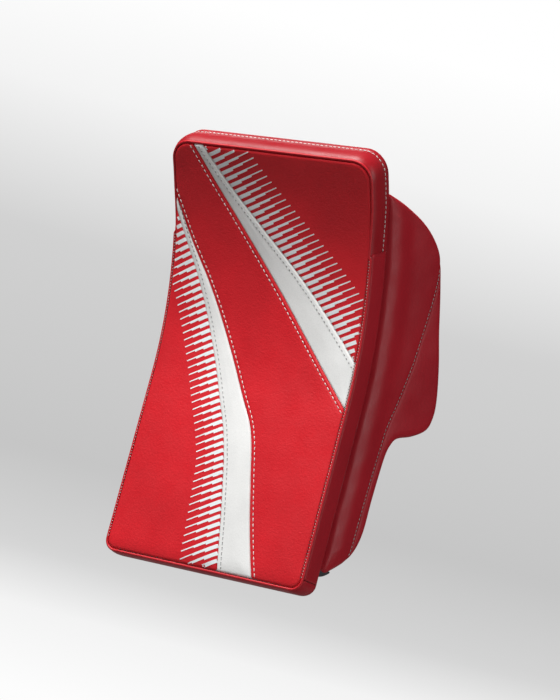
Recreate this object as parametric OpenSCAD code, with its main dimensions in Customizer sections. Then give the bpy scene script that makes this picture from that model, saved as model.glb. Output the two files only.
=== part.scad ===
// Goalie blocker for the right hand: a curled, padded board worn on the back of the
// hand, a padded sideboard that covers the thumb, and the glove that grips the stick.
// +Z runs along the board from the fingers to the cuff, the face looks toward -Y,
// and +X is the thumb side. The origin is the middle of the palm cavity.

/* [Board] */
// Width of the board
board_w = 203; // [185:1:203]
// Length measured along the front face
board_l = 381; // [360:1:381]
// Total thickness of the padded board
board_t = 34; // [34:1:36]
// Flat length at the finger end, below the curl
flat_l = 164; // [155:1:170]
// Radius of the hollow front face at the cuff end
curl_r = 316; // [300:1:400]
// Corner radius at the cuff end
corner_top = 19; // [12:1:24]
// Corner radius at the finger end
corner_bottom = 11; // [6:1:16]

/* [Sideboard] */
// Angle at which the sideboard flares out from straight back, in degrees
wing_flare = 20; // [14:1:24]
// Thickness of the padded sideboard
wing_t = 11; // [11:1:13]
// Scale of the sideboard's height behind the board
wing_scale = 1; // [0.9:0.01:1.05]

/* [Glove] */
// Sideways offset of the hand from the middle of the board
hand_x = 6; // [0:1:8]
// Width of the glove body
glove_w = 104; // [100:1:106]
// Spacing of the finger stalls
finger_pitch = 24; // [24:0.5:25]
// Outer radius of a finger stall
finger_r = 11.6; // [11:0.1:11.8]
// Outer radius of the thumb stall
thumb_r = 13.5; // [12:0.1:13.5]
// Wall of the finger and thumb stalls
stall_wall = 1.8; // [1.4:0.1:2.2]
// Tilt of the first finger section from straight down, in degrees
finger_tilt = 25; // [20:1:28]
// Further bend of the fingertips, in degrees
tip_bend = 35; // [30:1:40]

/* [Fasteners] */
// Shank diameter of a mounting screw
screw_d = 4.8; // [4:0.1:5]
// Head diameter of a mounting screw
screw_head_d = 10; // [9:0.5:11]
// Spacing of the screws across the hand
screw_span_x = 68; // [60:1:72]
// Height of the lower pair of screws above the finger end
screw_z = 86; // [80:1:90]
// Spacing of the screws along the hand
screw_span_z = 60; // [50:1:62]

/* [Hidden] */

$fn = 48;
gap = 0.2;          // between layers that lie on each other
skin = 1.4;         // cover material
wrap_skin = 2.2;    // heavier wrap round the cuff end
welt_r = 1.2;       // piping round the face
foam_split = 14;    // depth at which the front foam ends
sheet_t = 2;        // stiffening sheet
foam_inset = wrap_skin + gap + 0.2;
notch_s = 296;      // where the cuff-end wrap begins
band_s = 12;        // where the side bands begin
curl_steps = 14;
corner_steps = 6;

grip_y = 66;        // middle of the palm cavity, behind the front face
grip_z = 215;       // middle of the palm cavity, above the finger end
plate_y = board_t + gap;
plate_t = 3;
plate_h = 90;
plate_inset = 6;    // from the glove's sides and the pad's lower end
pad_y = plate_y + plate_t + gap;
pad_rear = 49;
liner_rear = pad_rear + gap + skin;
palm_rear = 86;
palm_skin = 1.6;
palm_r = 12;        // corners of the palm seen from the cuff
glove_x0 = hand_x - glove_w / 2;
glove_x1 = hand_x + glove_w / 2;
pad_z0 = 62;
wrist_z = 262;
palm_z0 = 184;
knuckle_y = 66;
knuckle_z = 166;
finger_l = 50;      // knuckle to second joint
finger_gap = 9;     // slack at the knuckle
tip_l = 42;         // second joint to fingertip
thumb_x = 74;
thumb_y = 74;
thumb_z = 216;
thumb_l = 48;       // base to second joint
thumb_tilt = 40;
thumb_mouth_tilt = 45;
thumb_tip_bend = -14;
thumb_tip_l = 44;
cuff_z0 = 267;
cuff_z1 = 338;
cuff_wall = 10;
cuff_front = 34;
cuff_pad_t = 14;
cuff_pad_r = 4;
cuff_liner_y = cuff_front + cuff_pad_t + gap;
cuff_rear = 98;
binding_t = 3.5;
binding_depth = 50;
flap_x1 = 67;
strap_z0 = 280;
strap_w = 38;

bright_red = "crimson";
dark_red = "darkred";

function curl_angle(s) = max(0, s - flat_l) / curl_r * 180 / PI;
function board_y(s, d) = s <= flat_l ? d : -curl_r + (curl_r + d) * cos(curl_angle(s));
function board_z(s, d) = s <= flat_l ? s : flat_l + (curl_r + d) * sin(curl_angle(s));
// rear surface of the board at a height above the finger end
rear_r = curl_r + board_t;
function rear_y(z) = z <= flat_l ? board_t : -curl_r + sqrt(rear_r * rear_r - pow(z - flat_l, 2));

// how far a rounded corner of radius r pulls the edge in at distance t from the end
function corner_cut(t, r) = t >= r ? 0 : r - sqrt(max(0, r * r - pow(r - t, 2)));
function half_width(s, inset) = board_w / 2 - inset - max(
    corner_cut(s - inset, corner_bottom - inset),
    corner_cut(board_l - inset - s, corner_top - inset));

function corner_stations(r) = [for (i = [0 : corner_steps]) r * (1 - cos(90 * i / corner_steps))];
function board_stations(inset) = concat(
    [for (t = corner_stations(corner_bottom - inset)) inset + t],
    [for (i = [0 : curl_steps]) flat_l + (board_l - corner_top - flat_l) * i / curl_steps],
    [for (i = [corner_steps - 1 : -1 : 0]) board_l - inset - corner_stations(corner_top - inset)[i]]);
function between(list, lo, hi) = concat([lo], [for (v = list) if (v > lo + 0.5 && v < hi - 0.5) v], [hi]);

// a smooth curve through hand-placed points
function spline_point(p, i, t) = let (
    a = p[max(0, i - 1)], b = p[i], c = p[i + 1], d = p[min(len(p) - 1, i + 2)])
    0.5 * (2 * b + (c - a) * t + (2 * a - 5 * b + 4 * c - d) * t * t
        + (3 * b - a - 3 * c + d) * t * t * t);
function spline(p, n = 4) = concat(
    [for (i = [0 : len(p) - 2], k = [0 : n - 1]) spline_point(p, i, k / n)], [p[len(p) - 1]]);

// colour breaks on the face, as [across the board, length along the face]
sweep_left_edge = [[-116, 362], [-92, 300], [-66, 246], [-28, 160], [-10, 117], [4, 64], [15, 14], [20, -12]];
sweep_right_edge = [[-120, 380], [-87, 301], [-53, 244], [-8, 167], [14, 130], [27, 86], [39, 43], [57, -12]];
diagonal_left_edge = [[-92, 402], [-58, 347], [-20, 297], [22, 247], [63, 200], [104, 157], [132, 128]];
diagonal_right_edge = [[-84, 400], [-46, 349], [-8, 309], [33, 271], [68, 236], [104, 198], [130, 170]];

// sideboard outline as [height above the finger end, distance behind the board]
wing_edge = [[354, 4], [352, 23], [346, 46], [337, 61], [324, 70], [300, 73], [264, 77],
    [235, 83], [205, 88], [189, 88], [176, 83], [166, 68], [159, 51], [151, 44.5], [137, 41],
    [100, 39], [70, 38.5], [52, 34], [39, 25], [26, 9]];
wing_seam = [[322, 70], [300, 66], [268, 58], [238, 51], [210, 44], [172, 35], [144, 31.5],
    [100, 29], [60, 28], [42, 26], [30, 22]];

module in_hand_frame() translate([-hand_x, -grip_y, -grip_z]) children();

// joins rings of points, each anticlockwise seen from the last one, into one closed solid
module loft(rings) {
    n = len(rings[0]);
    m = len(rings);
    sides = [for (i = [0 : m - 2], j = [0 : n - 1])
        [i * n + j, (i + 1) * n + j, (i + 1) * n + (j + 1) % n, i * n + (j + 1) % n]];
    ends = [[for (j = [0 : n - 1]) j], [for (j = [n - 1 : -1 : 0]) (m - 1) * n + j]];
    polyhedron([for (ring = rings) each ring], concat(sides, ends), convexity = 6);
}

module along_x(x0, x1) translate([x0, 0, 0]) rotate([90, 0, 90]) linear_extrude(x1 - x0) children();
module along_y(y0, y1) translate([0, y1, 0]) rotate([90, 0, 0]) linear_extrude(y1 - y0) children();
module rod_y(y0, y1, d) translate([0, y1, 0]) rotate([90, 0, 0]) cylinder(h = y1 - y0, d = d);

// a layer of the curled board between two depths from the front face
module board_layer(d0, d1, inset, s0 = 0, s1 = 1000) {
    lo = max(s0, inset);
    hi = min(s1, board_l - inset);
    loft([for (s = between(board_stations(inset), lo, hi)) let (w = half_width(s, inset)) [
        [w, board_y(s, d0), board_z(s, d0)],
        [w, board_y(s, d1), board_z(s, d1)],
        [-w, board_y(s, d1), board_z(s, d1)],
        [-w, board_y(s, d0), board_z(s, d0)]]]);
}

// lines along the board's edge, as [across the board, length along the face]
function side_line(inset) = [for (s = board_stations(inset)) [half_width(s, inset), s]];
function straight_line(inset, s0, s1) = [for (s = between(board_stations(0), s0, s1))
    [board_w / 2 - inset, s]];
function other_side(line) = [for (i = [len(line) - 1 : -1 : 0]) [-line[i][0], line[i][1]]];
function cuff_end_line(inset, s0) = let (
    half = concat([[board_w / 2 - inset, s0]], [for (p = side_line(inset)) if (p[1] > s0 + 0.5) p]))
    concat(half, other_side(half));
function finger_end_line(inset, s1) = let (
    half = concat([for (p = side_line(inset)) if (p[1] < s1 - 0.5) p], [[board_w / 2 - inset, s1]]))
    concat(other_side(half), half);

// a skin on the board's edge, from an outer line to an inner one
function point_at(p, d) = [p[0], board_y(p[1], d), board_z(p[1], d)];
module edge_band(outer, inner) {
    d0 = 2 * welt_r + gap;
    d1 = board_t - skin - gap;
    loft([for (i = [0 : len(outer) - 1]) [
        point_at(outer[i], d0), point_at(outer[i], d1),
        point_at(inner[i], d1), point_at(inner[i], d0)]]);
}

module face_skin() board_layer(0, skin, 2 * welt_r + gap);

// everything on the thumb side of a colour break, as a prism along Y
module thumb_side_of(edge, shift = 0) {
    line = [for (p = spline(edge)) [p[0] + shift, board_z(p[1], 0)]];
    along_y(-150, 80) polygon(concat(line, [[300, line[len(line) - 1][1]], [300, 500], [line[0][0], 500]]));
}

module face_panel_left() color(bright_red) in_hand_frame() difference() {
    face_skin();
    thumb_side_of(sweep_left_edge, -gap / 2);
}

module stripe_sweep() color("white") in_hand_frame() difference() {
    intersection() {
        face_skin();
        thumb_side_of(sweep_left_edge, gap / 2);
    }
    thumb_side_of(sweep_right_edge, -gap / 2);
}

module face_panel_centre() color(bright_red) in_hand_frame() difference() {
    intersection() {
        face_skin();
        thumb_side_of(sweep_right_edge, gap / 2);
    }
    thumb_side_of(diagonal_left_edge, -gap / 2);
}

module stripe_diagonal() color("white") in_hand_frame() difference() {
    intersection() {
        face_skin();
        thumb_side_of(diagonal_left_edge, gap / 2);
    }
    thumb_side_of(diagonal_right_edge, -gap / 2);
}

module face_panel_upper() color(bright_red) in_hand_frame() intersection() {
    face_skin();
    thumb_side_of(diagonal_right_edge, gap / 2);
}

// piping in the corner between the face and the edge bands, up one side and down the other
module edge_welt() color(bright_red) in_hand_frame() {
    stations = board_stations(welt_r);
    n = len(stations);
    up = [for (s = stations) [half_width(s, welt_r), s]];
    down = [for (i = [n - 1 : -1 : 0]) [-half_width(stations[i], welt_r), stations[i]]];
    path = concat(up, down);
    m = len(path);
    rings = [for (i = [0 : m - 1])
        let (
            a = path[(i + m - 1) % m],
            b = path[(i + 1) % m],
            t = (b - a) / norm(b - a),
            s = path[i][1],
            bend = curl_angle(s))
        [for (k = [0 : 7])
            let (
                across = welt_r * cos(45 * k),
                deep = welt_r + welt_r * sin(45 * k),
                slide = -across * t[0])
            [path[i][0] + across * t[1],
             board_y(s, deep) - slide * sin(bend),
             board_z(s, deep) + slide * cos(bend)]]];
    loop = [for (i = [0 : m - 1], k = [0 : 7])
        [i * 8 + k, i * 8 + (k + 1) % 8, ((i + 1) % m) * 8 + (k + 1) % 8, ((i + 1) % m) * 8 + k]];
    polyhedron([for (ring = rings) each ring], loop, convexity = 10);
}

module side_band_thumb() color(dark_red) in_hand_frame() edge_band(
    straight_line(0, band_s + gap, notch_s - gap),
    straight_line(skin, band_s + gap, notch_s - gap));

module side_band_outer() color(dark_red) in_hand_frame() edge_band(
    other_side(straight_line(0, band_s + gap, notch_s - gap)),
    other_side(straight_line(skin, band_s + gap, notch_s - gap)));

module bottom_band() color(dark_red) in_hand_frame()
    edge_band(finger_end_line(0, band_s), finger_end_line(skin, band_s));

module top_wrap() color(dark_red) in_hand_frame()
    edge_band(cuff_end_line(0, notch_s), cuff_end_line(wrap_skin, notch_s));

module screw_places() for (x = [-0.5, 0.5], z = [0, 1])
    translate([hand_x + x * screw_span_x, 0, screw_z + z * screw_span_z]) children();

t_nut_flange_d = 18;
t_nut_flange_t = 0.9;
t_nut_barrel_d = 7;

module foam_front() color("dimgray") in_hand_frame() difference() {
    board_layer(skin + gap, foam_split - gap, foam_inset);
    screw_places() rod_y(foam_split - gap - t_nut_flange_t - gap, foam_split + 1, t_nut_flange_d + 1);
}

module stiffener_sheet() color("gainsboro") in_hand_frame() difference() {
    board_layer(foam_split, foam_split + sheet_t, wrap_skin + 1);
    screw_places() rod_y(foam_split - 1, foam_split + sheet_t + 1, t_nut_barrel_d + 0.4);
}

module foam_rear() color("dimgray") in_hand_frame() difference() {
    board_layer(foam_split + sheet_t + gap, board_t - skin - gap, foam_inset);
    screw_places() rod_y(foam_split, board_t, t_nut_barrel_d + 0.6);
}

module back_panel() color("black") in_hand_frame() difference() {
    board_layer(board_t - skin, board_t, 1);
    screw_places() rod_y(board_t - 5, board_t + 5, screw_d + 1);
}

// the sideboard's slab between two depths under its outer face
wing_root_x = board_w / 2 - 1.5;
wing_z0 = 23;
wing_z1 = 354;
wing_foam_n = 7;    // depth at which its foam ends
wing_sheet_n = 9;   // depth at which its stiffening sheet ends
module wing_slab(n0, n1) {
    reach = 110;
    zs = [for (i = [0 : 8]) 16 + (flat_l - 16) * i / 8];
    curl_zs = [for (i = [1 : 14]) flat_l + 196 * i / 14];
    loft([for (z = concat(zs, curl_zs)) [for (p = [[-6, n0], [reach, n0], [reach, n1], [-6, n1]])
        [wing_root_x + p[0] * sin(wing_flare) - p[1] * cos(wing_flare),
         rear_y(z) + p[0] * cos(wing_flare) + p[1] * sin(wing_flare), z]]]);
}

function wing_line(points) = [for (p = spline(points, 3))
    [rear_y(p[0]) + p[1] * wing_scale * cos(wing_flare), p[0]]];
wing_root = [for (i = [0 : 12]) let (z = wing_z0 + (wing_z1 - wing_z0) * i / 12) [rear_y(z) + 1.2, z]];
module wing_outline() polygon(concat(wing_root, wing_line(wing_edge)));
module behind_seam() polygon(concat(wing_line(wing_seam), [[300, 20], [300, 340]]));
module root_margin() polygon(concat(
    [for (p = wing_root) [p[0] - 20, p[1]]], [[60, 380], [-20, 380]],
    [for (i = [12 : -1 : 0]) [wing_root[i][0] + 3, wing_root[i][1]]], [[30, 0], [0, 0]]));

module wing_piece(n0, n1) intersection() {
    wing_slab(n0, n1);
    along_x(60, 180) children();
}

module sideboard_cover() color(dark_red) in_hand_frame()
    wing_piece(0, skin) difference() {
        offset(delta = -skin) wing_outline();
        offset(delta = gap) behind_seam();
    }

module sideboard_edge_panel() color(dark_red) in_hand_frame()
    wing_piece(0, skin) intersection() {
        offset(delta = -skin - gap) wing_outline();
        behind_seam();
    }

module sideboard_foam() color("dimgray") in_hand_frame()
    wing_piece(skin + gap, wing_foam_n) offset(delta = -skin - gap) wing_outline();

module sideboard_stiffener() color("gainsboro") in_hand_frame()
    wing_piece(wing_foam_n + gap, wing_sheet_n) offset(delta = -skin - 2) wing_outline();

module sideboard_lining() color("black") in_hand_frame()
    wing_piece(wing_sheet_n + gap, wing_t) offset(delta = -skin - gap) wing_outline();

module sideboard_binding() color(dark_red) in_hand_frame()
    wing_piece(0, wing_t) difference() {
        wing_outline();
        offset(delta = -skin + gap) wing_outline();
        root_margin();
    }

module mounting_plate() color("black") in_hand_frame() difference() {
    along_y(plate_y, plate_y + plate_t) translate([glove_x0 + plate_inset, pad_z0 + plate_inset])
        square([glove_w - 2 * plate_inset, plate_h]);
    screw_places() rod_y(plate_y - 1, plate_y + plate_t + 1, screw_d + 0.6);
}

washer_t = 1;
washer_d = 14;
washer_y = plate_y + plate_t;
screw_head_h = 2.6;
hex_key_d = 4.6;
module mounting_screws() color("silver") in_hand_frame() screw_places() difference() {
    union() {
        rod_y(foam_split + 0.5, washer_y + washer_t + 0.5, screw_d);
        rod_y(washer_y + washer_t, washer_y + washer_t + screw_head_h, screw_head_d);
    }
    translate([0, washer_y + washer_t + 4, 0]) rotate([90, 0, 0]) cylinder(h = 2.8, d = hex_key_d, $fn = 6);
}

module screw_washers() color("silver") in_hand_frame() screw_places() difference() {
    rod_y(washer_y, washer_y + washer_t, washer_d);
    rod_y(washer_y - 1, washer_y + washer_t + 1, screw_d + 0.4);
}

module t_nuts() color("silver") in_hand_frame() screw_places() difference() {
    union() {
        rod_y(foam_split - gap / 2 - t_nut_flange_t, foam_split - gap / 2, t_nut_flange_d);
        rod_y(foam_split - gap, foam_split + 9, t_nut_barrel_d);
    }
    rod_y(foam_split - 5, foam_split + 12, screw_d + 0.2);
}

// foam wedge that fills the space between the curling board and the hand
module backhand_pad() color("dimgray") in_hand_frame() difference() {
    along_x(glove_x0 + 2, glove_x1 - 2) polygon(concat(
        [[pad_rear, pad_z0], [pad_y, pad_z0], [pad_y, flat_l - 3], [board_t + 0.4, flat_l - 2.6]],
        [for (z = [flat_l + 10 : 16 : wrist_z]) [rear_y(z) + 0.6, z]],
        [[rear_y(wrist_z) + 0.6, wrist_z], [pad_rear, wrist_z]]));
    screw_places() rod_y(pad_y - 4, pad_y + 5, 16);
}

module backhand_liner() color("black") in_hand_frame()
    along_y(pad_rear + gap, liner_rear) translate([glove_x0, pad_z0 - 2])
        square([glove_w, wrist_z - pad_z0 + 2]);

module rounded_box_2d(x0, x1, y0, y1, r) translate([x0, y0]) hull()
    for (x = [r, x1 - x0 - r], y = [r, y1 - y0 - r]) translate([x, y]) circle(r, $fn = 32);

gusset_y = 64;
// palm leather: the rear wall and both rounded edges, down to where the fingers bend
module palm() color("dimgray") in_hand_frame() translate([0, 0, palm_z0]) linear_extrude(wrist_z - palm_z0)
    difference() {
        rounded_box_2d(glove_x0, glove_x1, 40, palm_rear, palm_r);
        rounded_box_2d(glove_x0 + palm_skin, glove_x1 - palm_skin, 30, palm_rear - palm_skin, palm_r - palm_skin);
        translate([-200, -100]) square([400, 100 + gusset_y]);
        translate([glove_x1 - 8, 0]) square([100, palm_rear - 4]);
    }

module palm_overlay() color("gray") in_hand_frame()
    along_y(palm_rear + gap, palm_rear + gap + 1.2) translate([hand_x - 36, palm_z0 + 4])
        offset(6) offset(-6) square([72, 50]);

module gusset_pinky() color("darkgray") in_hand_frame()
    translate([glove_x0, liner_rear + gap, knuckle_z + 4])
        cube([palm_skin, gusset_y - gap - liner_rear - gap, wrist_z - knuckle_z - 4]);

// side view of the pocket that leads the thumb back to its stall
thumb_back = [sin(thumb_mouth_tilt), -cos(thumb_mouth_tilt)];
thumb_up = [cos(thumb_mouth_tilt), sin(thumb_mouth_tilt)];
thumb_mouth = [thumb_y, thumb_z] - 2 * thumb_back;
module thumb_pocket(inset) polygon([
    [liner_rear + 3 + inset, wrist_z - inset],
    [liner_rear + 3 + inset, thumb_mouth[1] - 10],
    thumb_mouth - (17 - inset) * thumb_up + (inset > 0 ? 4 : 0) * thumb_back,
    thumb_mouth + (21 - inset) * thumb_up + (inset > 0 ? 4 : 0) * thumb_back,
    [palm_rear - inset, wrist_z - inset]]);

module gusset_thumb() color("darkgray") in_hand_frame() difference() {
    along_x(glove_x1 + gap, thumb_x + thumb_r + 2) thumb_pocket(0);
    along_x(glove_x1 - 5, thumb_x + thumb_r + 2 - palm_skin) thumb_pocket(palm_skin);
}

// a stall section hangs from its joint along -Z; the palm side is relieved so it can bend
module stall(r, start, length, closed, relief) difference() {
    translate([0, 0, -length]) cylinder(h = length - start, r = r);
    translate([0, 0, closed ? stall_wall - length : -length - 1])
        cylinder(h = length + 2, r = r - stall_wall);
    translate([0, 0, -length]) rotate([relief, 0, 0]) translate([-40, 0, -80]) cube([80, 80, 80]);
}

function finger_x(i) = hand_x + (i - 1.5) * finger_pitch;
finger_relief = 30;
module finger_frame(i) translate([finger_x(i), knuckle_y, knuckle_z]) rotate([finger_tilt, 0, 0]) children();
module tip_frame(i) finger_frame(i) translate([0, 0, -finger_l]) rotate([tip_bend, 0, 0]) children();

module finger_stall(i) color("darkgray") in_hand_frame() finger_frame(i)
    stall(finger_r, finger_gap, finger_l - 1, false, finger_relief);

module finger_tip(i) color("darkgray") in_hand_frame() tip_frame(i) difference() {
    stall(finger_r, 2, tip_l, true, 0);
    rotate([-finger_relief, 0, 0]) translate([-40, 0, -0.5]) cube([80, 80, 80]);
}

module stall_pinky() finger_stall(0);
module stall_ring() finger_stall(1);
module stall_middle() finger_stall(2);
module stall_index() finger_stall(3);
module tip_pinky() finger_tip(0);
module tip_ring() finger_tip(1);
module tip_middle() finger_tip(2);
module tip_index() finger_tip(3);

// a curved shell over the thumb side of a stall
module side_shell(r, thickness, z0, z1) difference() {
    translate([0, 0, z0]) cylinder(h = z1 - z0, r = r + thickness);
    translate([0, 0, z0 - 1]) cylinder(h = z1 - z0 + 2, r = r);
    translate([-90, -50, z0 - 1]) cube([92, 100, z1 - z0 + 2]);
}

module index_guard() color(dark_red) in_hand_frame() finger_frame(3)
    side_shell(finger_r + gap, 3.4, -finger_l + 8, -finger_gap - 2);

thumb_relief = 20;
module thumb_frame() translate([thumb_x, thumb_y, thumb_z]) rotate([thumb_tilt, 0, 0]) children();

module thumb_stall() color("darkgray") in_hand_frame() thumb_frame() mirror([0, 1, 0])
    stall(thumb_r, finger_gap, thumb_l - 1, false, thumb_relief);

module thumb_tip() color("darkgray") in_hand_frame() thumb_frame()
    translate([0, 0, -thumb_l]) rotate([thumb_tip_bend, 0, 0]) difference() {
        stall(thumb_r, 2, thumb_tip_l, true, 0);
        rotate([thumb_relief, 0, 0]) translate([-40, -80, -0.5]) cube([80, 80, 80]);
    }

module thumb_shield() color(dark_red) in_hand_frame() thumb_frame()
    side_shell(thumb_r + gap, 2.6, -thumb_l + 10, -finger_gap - 3);

module cuff_back_pad() color(dark_red) in_hand_frame() along_x(glove_x0, glove_x1)
    translate([cuff_front, cuff_z0]) hull() {
        square([cuff_pad_t, cuff_pad_r]);
        for (y = [cuff_pad_r, cuff_pad_t - cuff_pad_r])
            translate([y, cuff_z1 - cuff_z0 - cuff_pad_r]) circle(cuff_pad_r, $fn = 24);
    }

module cuff_wall_plate(x) translate([x, 0, 0]) along_x(0, cuff_wall)
    rounded_box_2d(cuff_front, cuff_rear, cuff_z0, cuff_z1, 8);

module cuff_wall_pinky() color(dark_red) in_hand_frame() cuff_wall_plate(glove_x0 - gap - cuff_wall);
module cuff_wall_thumb() color(dark_red) in_hand_frame() cuff_wall_plate(glove_x1 + gap);

module cuff_liner() color("black") in_hand_frame() translate([0, 0, cuff_z0 + 2])
    linear_extrude(cuff_z1 - cuff_z0 - 8) difference() {
        translate([glove_x0 + gap, cuff_liner_y]) square([glove_w - 2 * gap, cuff_rear - cuff_liner_y - 7.8]);
        translate([glove_x0 + gap + skin, cuff_liner_y + skin])
            square([glove_w - 2 * gap - 2 * skin, 100]);
    }

module cuff_binding() color("black") in_hand_frame() translate([0, 0, cuff_z1 + gap])
    linear_extrude(binding_t) difference() {
        translate([glove_x0 - cuff_wall, cuff_front + 2]) square([glove_w + 2 * cuff_wall, binding_depth]);
        translate([glove_x0, cuff_front + cuff_pad_t - 1]) square([glove_w, 100]);
    }

flap_y = cuff_rear + gap + 0.2;
flap_t = 7.6;
module wrist_pad() color(dark_red) in_hand_frame() along_y(flap_y, flap_y + flap_t)
    rounded_box_2d(glove_x0 - 9, flap_x1, cuff_z0 + 3, cuff_z1 - 8, 12);

// elastic strap sewn to the flap; its free end wraps round the little-finger side
strap_y = flap_y + flap_t + gap;
strap_t = 2;
strap_x0 = glove_x0 - cuff_wall - 4.4;
wrap_y0 = cuff_rear - 24;
module wrist_strap() color("black") in_hand_frame() translate([0, 0, strap_z0]) linear_extrude(strap_w) {
    translate([strap_x0, strap_y]) square([flap_x1 - 3 - strap_x0, strap_t]);
    translate([strap_x0, wrap_y0]) square([strap_t, strap_y - wrap_y0 + 0.5]);
}

patch_t = 0.9;
module strap_patch(x, y0, y1) translate([x, y0, strap_z0 + 2]) cube([patch_t, y1 - y0, strap_w - 4]);
module strap_hook_patch() color("dimgray") in_hand_frame()
    strap_patch(strap_x0 + strap_t + 0.1, wrap_y0 + 1, wrap_y0 + 21);
module strap_loop_patch() color("black") in_hand_frame()
    strap_patch(strap_x0 + strap_t + patch_t + 0.3, wrap_y0 - 26, wrap_y0 + 21);

face_panel_left();
stripe_sweep();
face_panel_centre();
stripe_diagonal();
face_panel_upper();
edge_welt();
side_band_thumb();
side_band_outer();
bottom_band();
top_wrap();
foam_front();
stiffener_sheet();
foam_rear();
back_panel();
sideboard_cover();
sideboard_edge_panel();
sideboard_foam();
sideboard_stiffener();
sideboard_lining();
sideboard_binding();
mounting_plate();
mounting_screws();
screw_washers();
t_nuts();
backhand_pad();
backhand_liner();
palm();
palm_overlay();
gusset_pinky();
gusset_thumb();
stall_index();
stall_middle();
stall_ring();
stall_pinky();
tip_index();
tip_middle();
tip_ring();
tip_pinky();
index_guard();
thumb_stall();
thumb_tip();
thumb_shield();
cuff_back_pad();
cuff_wall_pinky();
cuff_wall_thumb();
cuff_liner();
cuff_binding();
wrist_pad();
wrist_strap();
strap_hook_patch();
strap_loop_patch();
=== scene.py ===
"""Goalie blocker: leather covers, stitching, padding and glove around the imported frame.

Lengths are in millimetres in the board's own axes (x towards the thumb, y back from the
front face, z up from the finger end) and become metres of the shared frame in to_frame().
On the curled board a place is given as x, s and d: s along the face, d depth behind it.
"""

import math

import bmesh
import bpy
import numpy as np
from mathutils import Matrix, Vector
from mathutils.bvhtree import BVHTree


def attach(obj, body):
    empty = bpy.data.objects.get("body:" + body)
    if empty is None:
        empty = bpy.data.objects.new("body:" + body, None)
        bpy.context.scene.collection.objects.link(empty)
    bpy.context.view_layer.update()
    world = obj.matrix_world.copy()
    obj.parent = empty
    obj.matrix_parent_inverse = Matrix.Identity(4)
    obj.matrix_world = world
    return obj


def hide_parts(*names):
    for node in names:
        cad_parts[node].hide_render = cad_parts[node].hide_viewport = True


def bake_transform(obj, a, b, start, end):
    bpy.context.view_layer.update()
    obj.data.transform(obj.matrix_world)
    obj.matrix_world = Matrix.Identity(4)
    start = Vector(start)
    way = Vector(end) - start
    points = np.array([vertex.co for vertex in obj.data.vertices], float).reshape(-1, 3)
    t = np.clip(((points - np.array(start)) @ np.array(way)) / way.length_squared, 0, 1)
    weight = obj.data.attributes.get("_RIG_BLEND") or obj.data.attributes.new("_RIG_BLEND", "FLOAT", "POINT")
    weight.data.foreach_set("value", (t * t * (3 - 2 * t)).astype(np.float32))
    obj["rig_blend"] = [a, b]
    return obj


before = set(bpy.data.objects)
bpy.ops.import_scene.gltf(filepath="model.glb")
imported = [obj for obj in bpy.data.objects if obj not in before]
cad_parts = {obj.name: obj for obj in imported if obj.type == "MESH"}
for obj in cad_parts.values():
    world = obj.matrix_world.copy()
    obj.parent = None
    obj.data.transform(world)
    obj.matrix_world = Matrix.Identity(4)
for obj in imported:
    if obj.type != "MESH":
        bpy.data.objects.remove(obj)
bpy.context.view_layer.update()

MM = 0.001
HAND_X, GRIP_Y, GRIP_Z = 6.0, 66.0, 215.0
BOARD_W, BOARD_L, BOARD_T = 203.0, 381.0, 34.0
HALF_W = BOARD_W / 2
FLAT_L, CURL_R = 164.0, 316.0
CORNER_TOP, CORNER_BOTTOM = 19.0, 11.0
NOTCH_S = 296.0
BAND_S = 12.0
FACE_INSET, FACE_ROLL = 2.2, 2.6
BACK_INSET = 6.5
SKIN = 1.2
SIDES = ((1, "thumb"), (-1, "outer"))

WING_FLARE = math.radians(20)
WING_T = 11.0
WING_ROOT_X = HALF_W - 1.5

# colour breaks on the face, as (x, s)
SWEEP_LEFT = [(-116, 362), (-92, 300), (-66, 246), (-28, 160), (-10, 117), (4, 64), (15, 14), (20, -12)]
SWEEP_RIGHT = [(-120, 380), (-87, 301), (-53, 244), (-8, 167), (14, 130), (27, 86), (39, 43), (57, -12)]
DIAGONAL_LEFT = [(-92, 402), (-58, 347), (-20, 297), (22, 247), (63, 200), (104, 157), (132, 128)]
DIAGONAL_RIGHT = [(-84, 400), (-46, 349), (-8, 309), (33, 271), (68, 236), (104, 198), (130, 170)]

# sideboard outline and its seam, as (z, distance behind the board)
WING_EDGE = [(354, 4), (352, 23), (346, 46), (337, 61), (324, 70), (300, 73), (264, 77),
             (235, 83), (205, 88), (189, 88), (176, 83), (166, 68), (159, 51), (151, 44.5),
             (137, 41), (100, 39), (70, 38.5), (52, 34), (39, 25), (26, 9)]
WING_SEAM = [(322, 70), (300, 66), (268, 58), (238, 51), (210, 44), (172, 35), (144, 31.5),
             (100, 29), (60, 28), (42, 26), (30, 22)]


# ---- shapes of curves

def bell(x, width):
    """1 where x is 0, falling to nothing a few widths away."""
    return np.exp(-(x / width) ** 2)


def smooth(t):
    """Eases t between 0 and 1."""
    return t * t * (3 - 2 * t)


def round_over(t, r):
    """Drop of a surface whose edge is rounded with radius r, at t in from the edge."""
    t = np.clip(t, 0, r)
    return r - np.sqrt(r ** 2 - (r - t) ** 2)


def clustered(count, pull=0.9):
    """Numbers from 0 to 1 that crowd towards both ends."""
    u = np.linspace(0, 1, count)
    return u - pull * np.sin(2 * math.pi * u) / (2 * math.pi)


def ripple(a, b, seed):
    """A smooth irregular wave between -1 and 1 of two coordinates in millimetres."""
    rng = np.random.default_rng(seed)
    total = np.zeros(np.broadcast(a, b).shape)
    for size in (90, 47, 23):
        angle, shift = rng.uniform(0, 2 * math.pi, 2)
        along = np.asarray(a) * math.cos(angle) + np.asarray(b) * math.sin(angle)
        total = total + size / 90 * np.sin(2 * math.pi * along / size + shift)
    return total / 1.8


def unit(v):
    return v / np.maximum(np.linalg.norm(v, axis=-1, keepdims=True), 1e-9)


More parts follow.
